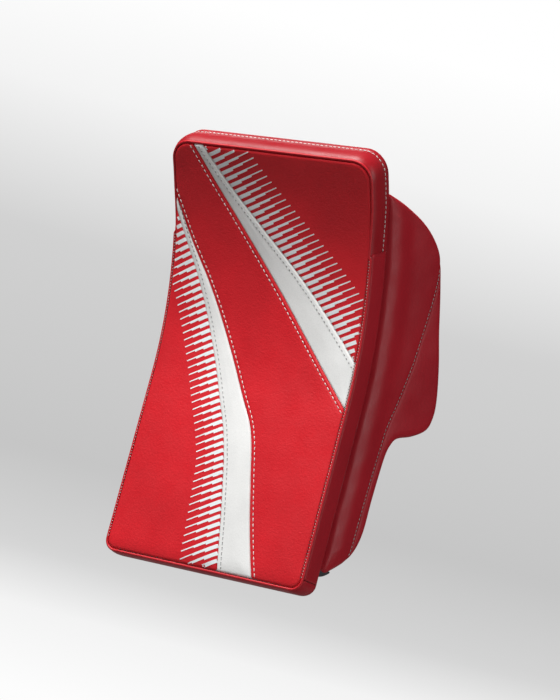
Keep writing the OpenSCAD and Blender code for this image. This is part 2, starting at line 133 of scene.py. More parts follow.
def spline(points, steps=8):
    """A Catmull-Rom curve through the points."""
    p = np.asarray(points, float)
    p = np.vstack([p[0], p, p[-1]])
    t = np.linspace(0, 1, steps, endpoint=False)[:, None]
    parts = []
    for a, b, c, d in zip(p[:-3], p[1:-2], p[2:-1], p[3:]):
        parts.append(0.5 * (2 * b + (c - a) * t + (2 * a - 5 * b + 4 * c - d) * t ** 2
                            + (3 * b - a - 3 * c + d) * t ** 3))
    return np.vstack(parts + [p[-1:]])


def resample(line, step):
    """Points of a polyline at even steps along it."""
    length = np.concatenate([[0], np.cumsum(np.linalg.norm(np.diff(line, axis=0), axis=1))])
    count = max(2, int(length[-1] / step))
    at = (np.arange(count) + 0.5) * length[-1] / count
    return np.stack([np.interp(at, length, line[:, k]) for k in range(line.shape[1])], -1)


def arc(x, y, r, degrees):
    """Points of a circle round x, y at these angles."""
    return [(x + r * math.cos(a), y + r * math.sin(a)) for a in np.radians(degrees)]


def profile_normals(profile):
    """Unit normals of an open 2D profile, on the right of its direction."""
    t = unit(np.gradient(profile, axis=0))
    return np.stack([t[:, 1], -t[:, 0]], -1)


# ---- places on the board

def xyz(x, y, z):
    """Points from three coordinates, of which any may be one number for all."""
    return np.stack(np.broadcast_arrays(x, y, z), -1)


def to_frame(points):
    """Board millimetres to metres of the shared frame."""
    return (np.asarray(points, float) - (HAND_X, GRIP_Y, GRIP_Z)) * MM


def to_board(points):
    """Metres of the shared frame to board millimetres."""
    return np.asarray(points) / MM + (HAND_X, GRIP_Y, GRIP_Z)


def board_points(x, s, d):
    """Points of the curled board at x across, s along the face and d behind it."""
    angle = np.maximum(0, s - FLAT_L) / CURL_R
    flat = s <= FLAT_L
    y = np.where(flat, d, (CURL_R + d) * np.cos(angle) - CURL_R)
    z = np.where(flat, s, FLAT_L + (CURL_R + d) * np.sin(angle))
    return xyz(x, y, z)


def rear_y(z):
    """Rear surface of the board at height z."""
    rise = np.maximum(0, np.asarray(z, float) - FLAT_L)
    return np.sqrt((CURL_R + BOARD_T) ** 2 - rise ** 2) - CURL_R


def half_width(s, inset):
    """Half the board's width at s, inside an inset from its outline."""
    cut = np.maximum(round_over(s - inset, CORNER_BOTTOM - inset),
                     round_over(BOARD_L - inset - s, CORNER_TOP - inset))
    return HALF_W - inset - cut


def outline_distance(x, s):
    """How far a place on the face is inside the board's outline."""
    r = np.where(s > BOARD_L / 2, CORNER_TOP, CORNER_BOTTOM)
    qx = np.abs(x) - (HALF_W - r)
    qs = np.abs(s - BOARD_L / 2) - (BOARD_L / 2 - r)
    outside = np.hypot(np.maximum(qx, 0), np.maximum(qs, 0))
    return r - outside - np.minimum(np.maximum(qx, qs), 0)


def board_outline(step=2.5):
    """The board's outline as rows of x, s, nx, ns, anticlockwise from the middle of the finger end."""
    rows = []

    def run(x0, s0, x1, s1, nx, ns):
        n = max(1, round(math.hypot(x1 - x0, s1 - s0) / step))
        for k in np.arange(n) / n:
            rows.append((x0 + (x1 - x0) * k, s0 + (s1 - s0) * k, nx, ns))

    def corner(cx, cs, r, start):
        for a in np.radians(start + np.arange(9) * 10):
            rows.append((cx + r * math.cos(a), cs + r * math.sin(a), math.cos(a), math.sin(a)))

    half, top, b, t = HALF_W, BOARD_L, CORNER_BOTTOM, CORNER_TOP
    run(0, 0, half - b, 0, 0, -1)
    corner(half - b, b, b, -90)
    run(half, b, half, top - t, 1, 0)
    corner(half - t, top - t, t, 0)
    run(half - t, top, t - half, top, 0, 1)
    corner(t - half, top - t, t, 90)
    run(-half, top - t, -half, b, -1, 0)
    corner(b - half, b, b, 180)
    run(b - half, 0, 0, 0, 0, -1)
    return np.array(rows)


class FaceLine:
    """A colour break on the face: x as a function of s."""

    def __init__(self, points):
        curve = spline(points, 16)
        order = np.argsort(curve[:, 1])
        self.s = curve[order, 1]
        self.curve_x = curve[order, 0]
        self.lean = np.gradient(self.curve_x, self.s)

    def slant(self, s):
        return np.hypot(1, np.interp(s, self.s, self.lean))

    def x(self, s, offset=0.0):
        """x of the line moved by offset square to itself, towards the thumb side."""
        return np.interp(s, self.s, self.curve_x) + offset * self.slant(s)

    def distance(self, x, s):
        """Signed distance of a place from the line, positive on the thumb side."""
        return (x - self.x(s)) / self.slant(s)


sweep_left, sweep_right = FaceLine(SWEEP_LEFT), FaceLine(SWEEP_RIGHT)
diagonal_left, diagonal_right = FaceLine(DIAGONAL_LEFT), FaceLine(DIAGONAL_RIGHT)
SEAMS = (sweep_left, sweep_right, diagonal_left, diagonal_right)
# rows sewn beside the stripes, as (line, offset); the first kind pulls the leather down
TOPSTITCHES = {"sweep": (sweep_right, 3.6), "diagonal": (diagonal_left, -3.6)}
HOLE_ROWS = {"sweep": (sweep_left, 4.2), "diagonal": (diagonal_right, -4.2)}


def face_depth(x, s):
    """Depth of the face leather: rolled at the edge, drawn in at seams, slightly pillowed."""
    edge = outline_distance(x, s) - FACE_INSET
    depth = round_over(edge, FACE_ROLL)
    nearest = np.full(np.broadcast(x, s).shape, 60.0)
    for line in SEAMS:
        away = np.abs(line.distance(x, s))
        nearest = np.minimum(nearest, away)
        depth = depth + 0.75 * bell(away, 0.9)
    for line, offset in TOPSTITCHES.values():
        depth = depth + 0.32 * bell(line.distance(x, s) - offset, 0.9)
    inner = np.minimum(nearest, np.maximum(edge, 0))
    pillow = 0.9 * (1 - np.exp(-inner / 9))
    finger_end_roll = 0.9 * bell(s, 7.0)
    return depth - pillow - 0.18 * ripple(x, s, 3) + finger_end_roll


# ---- mesh making

def quads(rows, cols, first=0, wrap_rows=False, wrap_cols=False):
    """Faces of a grid of points numbered row by row."""
    r = np.arange(rows if wrap_rows else rows - 1)
    c = np.arange(cols if wrap_cols else cols - 1)
    r, c = (v.ravel() for v in np.meshgrid(r, c, indexing="ij"))
    r2, c2 = (r + 1) % rows, (c + 1) % cols
    return (np.stack([r * cols + c, r * cols + c2, r2 * cols + c2, r2 * cols + c], -1) + first).tolist()


def tube_faces(rows, cols, first=0):
    """Faces of a tube through rings of points, with both ends closed."""
    last = first + (rows - 1) * cols
    ends = [list(range(first, first + cols)), list(range(last, last + cols))]
    return quads(rows, cols, first, wrap_cols=True) + ends


def add_object(name, mesh, material):
    mesh.materials.append(material)
    obj = bpy.data.objects.new(name, mesh)
    bpy.context.scene.collection.objects.link(obj)
    return obj


def piece(name, points, faces, material, shade_smooth=True):
    """A mesh object of the shared frame from points in board millimetres."""
    mesh = bpy.data.meshes.new(name)
    mesh.from_pydata(to_frame(np.reshape(points, (-1, 3))).tolist(), [], faces)
    bm = bmesh.new()
    bm.from_mesh(mesh)
    bmesh.ops.recalc_face_normals(bm, faces=bm.faces)
    bm.to_mesh(mesh)
    bm.free()
    mesh.polygons.foreach_set("use_smooth", [shade_smooth] * len(mesh.polygons))
    return add_object(name, mesh, material)


def slab(name, outer, inner, material):
    """A closed sheet between two grids of points of the same shape."""
    rows, cols = outer.shape[:2]
    count = rows * cols
    index = np.arange(count).reshape(rows, cols)
    rim = np.concatenate([index[0, :-1], index[:-1, -1], index[-1, :0:-1], index[:0:-1, 0]])
    following = np.roll(rim, -1)
    faces = quads(rows, cols) + quads(rows, cols, count)
    faces += np.stack([rim, following, following + count, rim + count], -1).tolist()
    return piece(name, np.stack([outer, inner]), faces, material)


def sweep(name, rings, material, loop=False):
    """A closed tube through rings of points; a loop joins its last ring to its first."""
    rows, cols = np.shape(rings)[:2]
    faces = quads(rows, cols, wrap_rows=True, wrap_cols=True) if loop else tube_faces(rows, cols)
    return piece(name, rings, faces, material)


# one stitch as (place along it, thickness, height) of its rings
STITCH = ((-0.5, 0.35, -0.8), (-0.36, 0.85, -0.1), (0, 1.0, 0.25), (0.36, 0.85, -0.1), (0.5, 0.35, -0.8))
STITCH_SIDES = 6


def stitches(name, line, normals, material, pitch=5.0, length=3.2, radius=0.42, lift=0.1):
    """Thread stitches along a line that lies on a surface with these normals."""
    both = resample(np.hstack([line, normals]), pitch)
    centre, normal = both[:, :3], unit(both[:, 3:])
    along = unit(np.gradient(centre, axis=0))
    side = unit(np.cross(along, normal))
    points, faces = [], []
    for k in range(len(centre)):
        faces += tube_faces(len(STITCH), STITCH_SIDES, len(points))
        for u, r, rise in STITCH:
            for a in np.arange(STITCH_SIDES) * 2 * math.pi / STITCH_SIDES:
                points.append(centre[k] + along[k] * u * length + side[k] * radius * r * math.cos(a)
                              + normal[k] * (lift + radius * (r * math.sin(a) + rise)))
    return piece(name, points, faces, material)


def joined(name, parts):
    """One piece made of several loose ones of the same material."""
    merged = bmesh.new()
    for part in parts:
        merged.from_mesh(part.data)
    merged.to_mesh(parts[0].data)
    merged.free()
    for part in parts[1:]:
        mesh = part.data
        bpy.data.objects.remove(part)
        bpy.data.meshes.remove(mesh)
    parts[0].name = parts[0].data.name = name
    return parts[0]


def place(obj, body, *nodes, slot=None):
    """Puts a finished piece on its body, for the CAD nodes it stands for."""
    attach(obj, body)
    if nodes:
        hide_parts(*nodes)
    return obj


def sew(name, points, under, material, body="board", **thread_size):
    """Places a row of stitches on a surface; under holds the same places a little way inside it."""
    place(stitches(name, points, points - under, material, **thread_size), body)


# ---- materials

class Nodes:
    """Short calls that add nodes to a shader tree."""

    def __init__(self, tree):
        self.tree = tree

    def add(self, kind, settings=None, **inputs):
        """Adds a node; an input that is a socket is linked, and any other value is set."""
        node = self.tree.nodes.new("ShaderNode" + kind)
        for key, value in (settings or {}).items():
            setattr(node, key, value)
        for key, value in inputs.items():
            self.connect(value, node.inputs[key.replace("_", " ")])
        return node

    def connect(self, value, socket):
        if isinstance(value, bpy.types.NodeSocket):
            self.tree.links.new(value, socket)
        else:
            socket.default_value = value

    def mix(self, factor, a, b):
        node = self.add("Mix", {"data_type": "RGBA"})
        for value, index in ((factor, 0), (a, 6), (b, 7)):
            self.connect(value, node.inputs[index])
        return node.outputs[2]

    def remap(self, value, low, high, out_low, out_high):
        return self.add("MapRange", {"clamp": True}, Value=value, From_Min=low, From_Max=high,
                        To_Min=out_low, To_Max=out_high).outputs["Result"]

    def calc(self, operation, a, b):
        node = self.add("Math", {"operation": operation})
        self.connect(a, node.inputs[0])
        self.connect(b, node.inputs[1])
        return node.outputs[0]

    def camera_ray(self):
        return self.add("LightPath").outputs["Is Camera Ray"]


class Surface(Nodes):
    """A material whose pattern scales count repeats per metre."""

    def __init__(self, name):
        self.material = bpy.data.materials.new(name)
        self.material.use_nodes = True
        super().__init__(self.material.node_tree)
        self.coords = self.add("TexCoord").outputs["Object"]

    def noise(self, scale, detail=3.0):
        return self.add("TexNoise", Vector=self.coords, Scale=scale, Detail=detail).outputs["Fac"]

    def cells(self, scale, feature="F1", randomness=1.0):
        return self.add("TexVoronoi", {"feature": feature}, Vector=self.coords, Scale=scale,
                        Randomness=randomness).outputs["Distance"]

    def waves(self, direction, scale, distortion):
        return self.add("TexWave", {"bands_direction": direction}, Vector=self.coords, Scale=scale,
                        Distortion=distortion).outputs["Fac"]

    def finish(self, colour, roughness, height, bump, distance=0.0004, **others):
        """Wires the shader and gives the finished material."""
        bumped = self.add("Bump", Strength=bump, Distance=distance, Height=height).outputs["Normal"]
        inputs = {"Base_Color": colour, "Roughness": roughness, "Normal": bumped, **others}
        for key, value in inputs.items():
            self.connect(value, self.tree.nodes["Principled BSDF"].inputs[key.replace("_", " ")])
        return self.material


def shade(colour, factor):
    return tuple(min(1.0, c * factor) for c in colour) + (1.0,)


def leather(name, base, roughness=0.46, grain=1150.0, bump=0.35, worn=1.35):
    """Synthetic leather: fine pebble grain, faint blotches, polish and wear on the high edges."""
    n = Surface(name)
    pebble = n.cells(grain, "SMOOTH_F1")
    creases = n.noise(420.0, 6.0)
    blotch = n.noise(16.0, 4.0)
    colour = n.mix(n.remap(blotch, 0.3, 0.7, 0, 1), shade(base, 0.90), shade(base, 1.07))
    colour = n.mix(n.remap(pebble, 0.0, 0.5, 0.12, 0.0), colour, shade(base, 0.35))
    bend = n.add("NewGeometry").outputs["Pointiness"]
    edge = n.calc("MULTIPLY", n.remap(bend, 0.515, 0.60, 0.0, 0.55), n.remap(creases, 0.35, 0.65, 0.3, 1.0))
    colour = n.mix(edge, colour, shade(base, worn))
    rough = n.remap(n.noise(60.0, 5.0), 0.3, 0.7, roughness - 0.05, roughness + 0.07)
    height = n.calc("ADD", n.calc("MULTIPLY", pebble, 0.6), creases)
    return n.finish(colour, rough, height, bump, Specular_IOR_Level=0.28)


def suede(name, base):
    """Brushed synthetic suede: short matte nap with darker rubbed patches."""
    n = Surface(name)
    nap = n.noise(900.0, 8.0)
    colour = n.mix(n.remap(n.noise(38.0, 5.0), 0.35, 0.7, 0, 1), shade(base, 0.78), shade(base, 1.12))
    colour = n.mix(n.remap(nap, 0.3, 0.7, 0.25, 0.0), colour, shade(base, 0.5))
    return n.finish(colour, n.remap(nap, 0.2, 0.8, 0.8, 0.95), nap, 0.5, Sheen_Weight=0.35)


def knit(name, base, pitch, hole=0.3, roughness=0.8):
    """Knitted fabric with a grid of small dark holes of this pitch in metres."""
    n = Surface(name)
    yarn = n.noise(1.6 / pitch, 4.0)
    holes = n.remap(n.cells(1 / pitch, randomness=0.25), 0.10, hole, 1.0, 0.0)
    colour = n.mix(yarn, shade(base, 0.8), shade(base, 1.5))
    colour = n.mix(holes, colour, shade(base, 0.12))
    height = n.calc("SUBTRACT", n.calc("MULTIPLY", yarn, 0.3), holes)
    return n.finish(colour, roughness, height, 0.7, pitch * 0.3, Sheen_Weight=0.25)


def ribbed(name, base, pitch):
    """Elastic webbing: ribs crossed by a fine weave."""
    n = Surface(name)
    ribs = n.waves("Z", 0.314 / pitch, 0.3)
    weave = n.waves("X", 0.314 / pitch * 1.7, 0.4)
    height = n.calc("ADD", ribs, n.calc("MULTIPLY", weave, 0.4))
    colour = n.mix(height, shade(base, 0.5), shade(base, 1.9))
    return n.finish(colour, 0.75, height, 0.8, pitch * 0.3)


def napped(name, base, scale):
    """Cut foam, hook tape or raw leather: a rough, softly mottled surface."""
    n = Surface(name)
    fine = n.cells(scale)
    soft = n.noise(60.0, 5.0)
    colour = n.mix(soft, shade(base, 0.7), shade(base, 1.5))
    colour = n.mix(n.remap(fine, 0.0, 0.5, 0.5, 0.0), colour, shade(base, 0.4))
    return n.finish(colour, 0.95, n.calc("ADD", fine, soft), 0.6, 1.0 / scale, Sheen_Weight=0.3)


def thread(name, base):
    """Twisted polyester thread."""
    n = Surface(name)
    twist = n.waves("DIAGONAL", 420.0, 1.5)
    colour = n.mix(twist, shade(base, 0.72), shade(base, 1.05))
    return n.finish(colour, 0.55, twist, 0.6, 0.0002)


def plastic(name, base, roughness=0.5):
    """Pressed plastic sheet: faint scuffs and uneven gloss."""
    n = Surface(name)
    scuffs = n.noise(240.0, 8.0)
    colour = n.mix(n.noise(30.0), shade(base, 0.85), shade(base, 1.12))
    rough = n.remap(scuffs, 0.3, 0.7, roughness - 0.1, roughness + 0.15)
    return n.finish(colour, rough, scuffs, 0.15)


def zinc_steel(name):
    """Zinc plated steel with slight tarnish and uneven gloss."""
    n = Surface(name)
    tarnish = n.noise(180.0, 6.0)
    colour = n.mix(tarnish, (0.48, 0.48, 0.50, 1), (0.72, 0.72, 0.72, 1))
    return n.finish(colour, n.remap(tarnish, 0.3, 0.7, 0.22, 0.42), tarnish, 0.1, Metallic=1.0)


FACE_RED = leather("face_red", (0.62, 0.013, 0.021), roughness=0.48, grain=900.0, bump=0.6)
# darker copy of the face's red leather: painted shade on the edge bands, sideboard, guards and padding
SHADED_TRIM_RED = leather("trim_red", (0.37, 0.009, 0.018), roughness=0.43)
# darker still: painted shade that holds down the key light on the top wrap
SHADED_WRAP_RED = leather("wrap_red_shaded", (0.30, 0.006, 0.012), roughness=0.42)
WELT_RED = leather("welt_red", (0.50, 0.014, 0.022), roughness=0.42, grain=1600.0)
WHITE = leather("stripe_white", (0.80, 0.80, 0.785), roughness=0.45, worn=1.05, bump=0.22)
PRINT_WHITE = leather("print_white", (0.80, 0.83, 0.84), roughness=0.5, worn=1.02, bump=0.15)
RAW_EDGE = napped("raw_edge", (0.55, 0.53, 0.52), 1500.0)
SUEDE = suede("palm_grey", (0.40, 0.395, 0.385))
SUEDE_DARK = suede("palm_dark", (0.13, 0.13, 0.135))
MESH = knit("mesh_black", (0.030, 0.030, 0.034), 0.0026)
TRICOT = knit("lining_black", (0.022, 0.022, 0.026), 0.0012, hole=0.22)
BACK_FABRIC = knit("back_nylon", (0.024, 0.024, 0.028), 0.0009, hole=0.2, roughness=0.65)
FOAM = napped("foam", (0.10, 0.10, 0.11), 1300.0)
SHEET_PLASTIC = plastic("sheet_plastic", (0.62, 0.62, 0.58))
PLATE_PLASTIC = plastic("plate_plastic", (0.03, 0.03, 0.032), 0.42)
STEEL = zinc_steel("steel")
ELASTIC = ribbed("elastic_black", (0.030, 0.030, 0.032), 0.0018)
HOOK = napped("hook_loop", (0.045, 0.045, 0.048), 1000.0)
THREAD_WHITE = thread("thread_white", (0.78, 0.77, 0.75))
THREAD_PALE = thread("thread_pale", (0.42, 0.42, 0.41))
THREAD_GREY = thread("thread_grey", (0.40, 0.33, 0.33))
# dots of painted shade that stand for needle holes: grey on the white stripes, near black on the red leather
NEEDLE_HOLE_SHADE = napped("needle_hole_shade", (0.16, 0.15, 0.15), 2500.0)
NEEDLE_HOLE_SHADE_RED = napped("needle_hole_shade_red", (0.05, 0.006, 0.008), 2500.0)


# ---- front face

PANEL_COLUMNS = 72
SEAM_GAP = 0.16


def face_rows():
    near = FACE_INSET + np.array([0, 0.15, 0.4, 0.8, 1.3, 2.0, 3.0, 4.5, 6.5, 9.0, 12.0, 15.0])
    return np.unique(np.concatenate([near, np.arange(18, BOARD_L - 20, 2.2), BOARD_L - near]))


def face_panel(name, left, right, material, slot):
    """One leather panel of the face, between two colour breaks; None is the board's own edge."""
    def bounds(s):
        half = half_width(s, FACE_INSET)
        lo = -half if left is None else np.clip(left.x(s, SEAM_GAP), -half, half)
        hi = half if right is None else np.clip(right.x(s, -SEAM_GAP), -half, half)
        return lo, hi

    dense = np.linspace(FACE_INSET, BOARD_L - FACE_INSET, 4000)
    lo, hi = bounds(dense)
    inside = dense[hi - lo > 0.12]
    s = face_rows()
    s = np.concatenate([[inside[0]], s[(s > inside[0] + 0.1) & (s < inside[-1] - 0.1)], [inside[-1]]])
    lo, hi = bounds(s)
    x = lo[:, None] + (hi - lo)[:, None] * clustered(PANEL_COLUMNS)
    s = s[:, None]
    depth = face_depth(x, s)
    obj = slab(name, board_points(x, s, depth), board_points(x, s, depth + SKIN), material)
    place(obj, "board", name.replace("_leather", ""), slot=slot)


def face_line(line, offset):
    """Places along a colour break, moved sideways, on the face and 1 mm under it."""
    s = np.arange(0, BOARD_L, 0.8)
    x = line.x(s, offset)
    keep = outline_distance(x, s) > 3.2
    x, s = x[keep], s[keep]
    depth = face_depth(x, s)
    return board_points(x, s, depth), board_points(x, s, depth + 1)


def face_stitching():
    for label, (line, offset) in TOPSTITCHES.items():
        points, under = face_line(line, offset)
        name = f"topstitch_{label}"
        sew(name, points, under, THREAD_WHITE, pitch=4.9, length=3.5, radius=0.44)
        # dark dots of painted shade in the needle holes between the stitches
        sew(f"{name}_hole_shade", points, under, NEEDLE_HOLE_SHADE_RED, pitch=4.9 / 2, length=0.8, radius=0.3, lift=-0.1)
    for label, (line, offset) in HOLE_ROWS.items():
        points, under = face_line(line, offset)
        name = f"hole_row_{label}"
        # grey dots of painted shade round the sunk pale stitches
        sew(name, points, under, NEEDLE_HOLE_SHADE, pitch=4.4, length=1.5, radius=0.56, lift=-0.14)
        sew(f"{name}_thread", points[4:-4], under[4:-4], THREAD_PALE, pitch=4.4, length=2.7, lift=0.05)


BAR_PITCH = 6.6
# a bar's width as a share of the pitch, at shares of its length
BAR_STEPS = [(0.0, 0.52), (0.34, 0.52), (0.341, 0.33), (0.66, 0.33), (0.661, 0.17), (1.0, 0.15)]


def hatch(name, line, direction, s0, s1, length):
    """Tapering bars printed on the leather beside a white stripe, each in three steps."""
    direction = np.array(direction) / np.hypot(*direction)
    across = np.array([-direction[1], direction[0]]) * np.sign(direction[0])
    share = np.unique(np.concatenate([np.linspace(0, 1, 31), [u for u, _ in BAR_STEPS]]))
    width = np.interp(share, *np.transpose(BAR_STEPS)) * BAR_PITCH
    s = np.arange(s0, s1, 0.5)
    points, faces = [], []
    for root in resample(np.stack([line.x(s), s], -1), BAR_PITCH):
        centre = root + direction * share[:, None] * length(root[1])
        upper = centre + across * BAR_PITCH * 0.31
        lower = centre + across * (BAR_PITCH * 0.31 - width)[:, None]
        on_face = (outline_distance(*upper.T) > 3.0) & (outline_distance(*lower.T) > 3.0)
        stop = len(share) if on_face.all() else int(np.argmin(on_face))
        if stop < 3:
            continue
        corners = []
        for side, lift in ((upper, -0.16), (lower, -0.16), (lower, 0.12), (upper, 0.12)):
            bar_x, bar_s = side[:stop].T
            corners.append(board_points(bar_x, bar_s, face_depth(bar_x, bar_s) + lift))
        faces += tube_faces(stop, 4, 4 * len(points))
        points.extend(np.stack(corners, 1))
    place(piece(name, points, faces, PRINT_WHITE, shade_smooth=False), "board", slot="stripe_white")


def front_face():
    face_panel("face_panel_left_leather", None, sweep_left, FACE_RED, "face_red")
    face_panel("stripe_sweep_leather", sweep_left, sweep_right, WHITE, "stripe_white")
    face_panel("face_panel_centre_leather", sweep_right, diagonal_left, FACE_RED, "face_red")
    face_panel("stripe_diagonal_leather", diagonal_left, diagonal_right, WHITE, "stripe_white")
    face_panel("face_panel_upper_leather", diagonal_right, None, FACE_RED, "face_red")
    face_stitching()
    hatch("sweep_bars", sweep_left, (-28.5, -17), 8, 336, lambda s: 27 + 15 * max(0, 1 - s / 105))
    hatch("diagonal_bars", diagonal_right, (33, 16.5), 190, 378, lambda s: 39)


# ---- edge of the board

# profiles of the edge leather, as (distance out from the outline, depth)
BAND_PROFILE = spline([(-1.9, 2.5), (-0.6, 2.9), (0.35, 4.4), (1.0, 9), (1.15, 15), (0.9, 21), (0.2, 26),
                       (-1.0, 29.2), (-2.9, 31.8), (-5.2, 33.3), (-8.0, 34.0), (-11, 34.3)], 4)
WRAP_PROFILE = spline([(-3.0, 3.6), (-2.6, 1.7), (-1.5, 0.9), (0.2, 2.6), (1.7, 6.2), (2.3, 11), (2.1, 16),
                       (1.3, 20), (0.2, 23.1), (0.1, 24.0), (0.7, 25.2), (0.9, 27.4), (0.1, 30.2),
                       (-1.9, 32.7), (-5.0, 34.2), (-9, 34.9)], 4)
WRAP_STITCH_D = 24.0
WELT_O, WELT_D, WELT_R = -1.15, 1.55, 1.15
CUT_BOW = 3.0


def edge_rings(rows, profile, pull=None):
    """Places of an (o, d) profile set along rows of the board's outline."""
    out = profile[None, :, 0] + (pull(rows[:, 1:2]) if pull else 0)
    x = rows[:, 0:1] + rows[:, 2:3] * out
    s = rows[:, 1:2] + rows[:, 3:4] * out
    return x, s, np.repeat(profile[None, :, 1], len(rows), 0)


def edge_line(rows, o, d, pull=None):
    """Places along the board's edge at one place of its profile, and 1 mm further inside."""
    x, s, depth = edge_rings(rows, np.array([[o, d]]), pull)
    return board_points(x, s, depth)[:, 0], board_points(x - rows[:, 2:3], s - rows[:, 3:4], depth)[:, 0]


def rows_between(s0, s1, side):
    """The rows of one straight side of the board from s0 to s1."""
    s = np.concatenate([[s0], np.arange(s0 + 2, s1 - 1, 2.5), [s1]])
    return np.stack([np.full(len(s), side * HALF_W), s, np.full(len(s), side), np.zeros(len(s))], -1)


def around_cuff_end():
    """Outline rows from the thumb side's notch round the cuff end to the other notch."""
    rows = board_outline()
    up, down = (rows_between(NOTCH_S, BOARD_L - CORNER_TOP - 1, side) for side, _ in SIDES)
    return np.vstack([up, rows[rows[:, 1] > BOARD_L - CORNER_TOP - 0.01], down[::-1]])


def around_finger_end():
    """Outline rows from the outer side's lower corner round the finger end to the thumb side."""
    rows = board_outline()
    rows = rows[rows[:, 1] < BAND_S]
    thumb_half = rows[:, 0] >= 0
    return np.vstack([rows[~thumb_half], rows[thumb_half]])


def wrap_pull(s):
    """The wrap draws the edge in a little just above the notches."""
    return -1.7 * (1 - smooth(np.clip((s - NOTCH_S) / 46, 0, 1)))


def bow_cut(s, d):
    """The wrap's cut ends rise towards the back of the board."""
    near = np.clip(1 - (s - NOTCH_S) / 14, 0, 1) * (np.abs(s - NOTCH_S) < 14)
    return s + CUT_BOW * (np.clip(d, 0, BOARD_T) / BOARD_T) ** 2 * near


def band(node, rows, profile, material, thickness=1.3, pull=None, bow=False):
    """Edge leather of one profile and thickness along rows of the outline."""
    inner = profile - profile_normals(profile) * thickness
    x, s, d = edge_rings(rows, np.vstack([profile, inner[::-1]]), pull)
    d = d + 0.15 * ripple(x + s, d * 3, 5)
    if bow:
        s = bow_cut(s, d)
    place(sweep(f"{node}_leather", board_points(x, s, d), material), "board", node, slot="trim_red")


def welt():
    """Piping between the face and the edge bands, in one loop."""
    a = np.linspace(0, 2 * math.pi, 10, endpoint=False)
    ring = np.stack([WELT_O + WELT_R * np.cos(a), WELT_D + WELT_R * np.sin(a)], -1)
    x, s, d = edge_rings(board_outline(), ring, lambda v: wrap_pull(v) * (v > NOTCH_S))
    piping = sweep("edge_piping", board_points(x, s, d), WELT_RED, loop=True)
    place(piping, "board", "edge_welt", slot="face_red")


def wrap_raw_edges():
    """The pale cut edge of the wrap's leather at both notches."""
    across = profile_normals(WRAP_PROFILE)
    pull = float(wrap_pull(NOTCH_S))
    round_edge = np.arange(8) * 2 * math.pi / 8
    off = -0.45 + 0.75 * np.cos(round_edge)
    for side, label in SIDES:
        rings = []
        for (o, d), (no, nd) in zip(WRAP_PROFILE[3:-8], across[3:-8]):
            taper = 0.9 if d < 9 else 0.55
            x = side * (HALF_W + o + pull + no * off)
            s = bow_cut(NOTCH_S, d) - 0.15 + 0.42 * taper * np.sin(round_edge)
            rings.append(board_points(x, s, d + nd * off))
        place(sweep(f"wrap_raw_edge_{label}", rings, RAW_EDGE), "board", slot="trim_red")


def edge_stitching():
    """Stitches with dark dots of painted shade in the needle holes along the piping, and the wrap's white
    topstitch.
    """
    points, under = edge_line(around_cuff_end()[1:-1], 0.05, WRAP_STITCH_D, wrap_pull)
    sew("wrap_topstitch", points, under, THREAD_WHITE, pitch=4.2, length=3.0)
    for side, label in SIDES:
        s = rows_between(BAND_S, NOTCH_S - 2, side)[:, 1]
        x = side * (HALF_W - FACE_INSET - 0.9)
        depth = face_depth(x, s)
        points, under = board_points(x, s, depth), board_points(x - side * 0.5, s, depth + 1)
        # dark dots of painted shade in the needle holes inside the piping
        sew(f"edge_hole_shade_{label}", points, under, NEEDLE_HOLE_SHADE_RED, pitch=2.6, length=1.3, radius=0.36, lift=-0.1)
        points, under = (board_points(side * (HALF_W - o), s, d) for o, d in ((1.9, 0.75), (2.4, 1.75)))
        sew(f"edge_thread_{label}", points, under, THREAD_WHITE, pitch=2.6, length=1.2, radius=0.28, lift=0.0)
    end = around_finger_end()
    points, under = edge_line(end[np.abs(end[:, 0]) < HALF_W - 14], -2.9, 1.4)
    # dark dots of painted shade in the needle holes along the finger end
    sew("edge_hole_shade_finger_end", points, under, NEEDLE_HOLE_SHADE_RED, pitch=2.6, length=1.2, radius=0.32)


def board_edge():
    for side, label in SIDES:
        band(f"side_band_{label}", rows_between(BAND_S - 0.4, NOTCH_S + 3, side), BAND_PROFILE, SHADED_TRIM_RED)
    band("bottom_band", around_finger_end(), BAND_PROFILE, SHADED_TRIM_RED)
    band("top_wrap", around_cuff_end(), WRAP_PROFILE, SHADED_WRAP_RED, thickness=1.8, pull=wrap_pull, bow=True)
    welt()
    wrap_raw_edges()
    edge_stitching()


def back_of_board():
    """Black nylon back panel, drawn in where its binding is sewn."""
    ends = np.array([6.5, 8, 12])
    s = np.concatenate([[6.5, 7.5, 9, 12], np.arange(16, BOARD_L - 16, 4), BOARD_L - ends[::-1]])
    x = half_width(s, BACK_INSET)[:, None] * (2 * clustered(50) - 1)
    s = s[:, None]
    inside = outline_distance(x, s)
    depth = BOARD_T - 0.25 + 0.5 * np.clip((inside - BACK_INSET) / 6, 0, 1)
    depth = depth + 0.35 * np.clip((inside - 8) / 10, 0, 1) * ripple(x, s, 8)
    rear, front = board_points(x, s, depth), board_points(x, s, depth - SKIN)
    panel = slab("back_panel_nylon", rear, front, BACK_FABRIC)
    place(panel, "board", "back_panel", slot="lining_black")
    rows = board_outline()
    points, _ = edge_line(rows, -9.2, BOARD_T + 0.55)
    under, _ = edge_line(rows, -9.2, BOARD_T - 1)
    sew("back_panel_stitching", points, under, THREAD_GREY, pitch=4.6)


# ---- sideboard

WING_LINE = spline(WING_EDGE, 7)
WING_SEAM_LINE = spline(WING_SEAM, 7)
WING_FREE_EDGE = np.vstack([[(354, -14)], WING_LINE, [(23.5, 5), (23, -14)]])
WING_LIMIT = np.vstack([WING_LINE, [(23.5, 5), (23, 2)]])
SEAM_LOW, SEAM_HIGH = 34, 322
EDGE_ROUND = 4.6
ROOT_H = -3.4


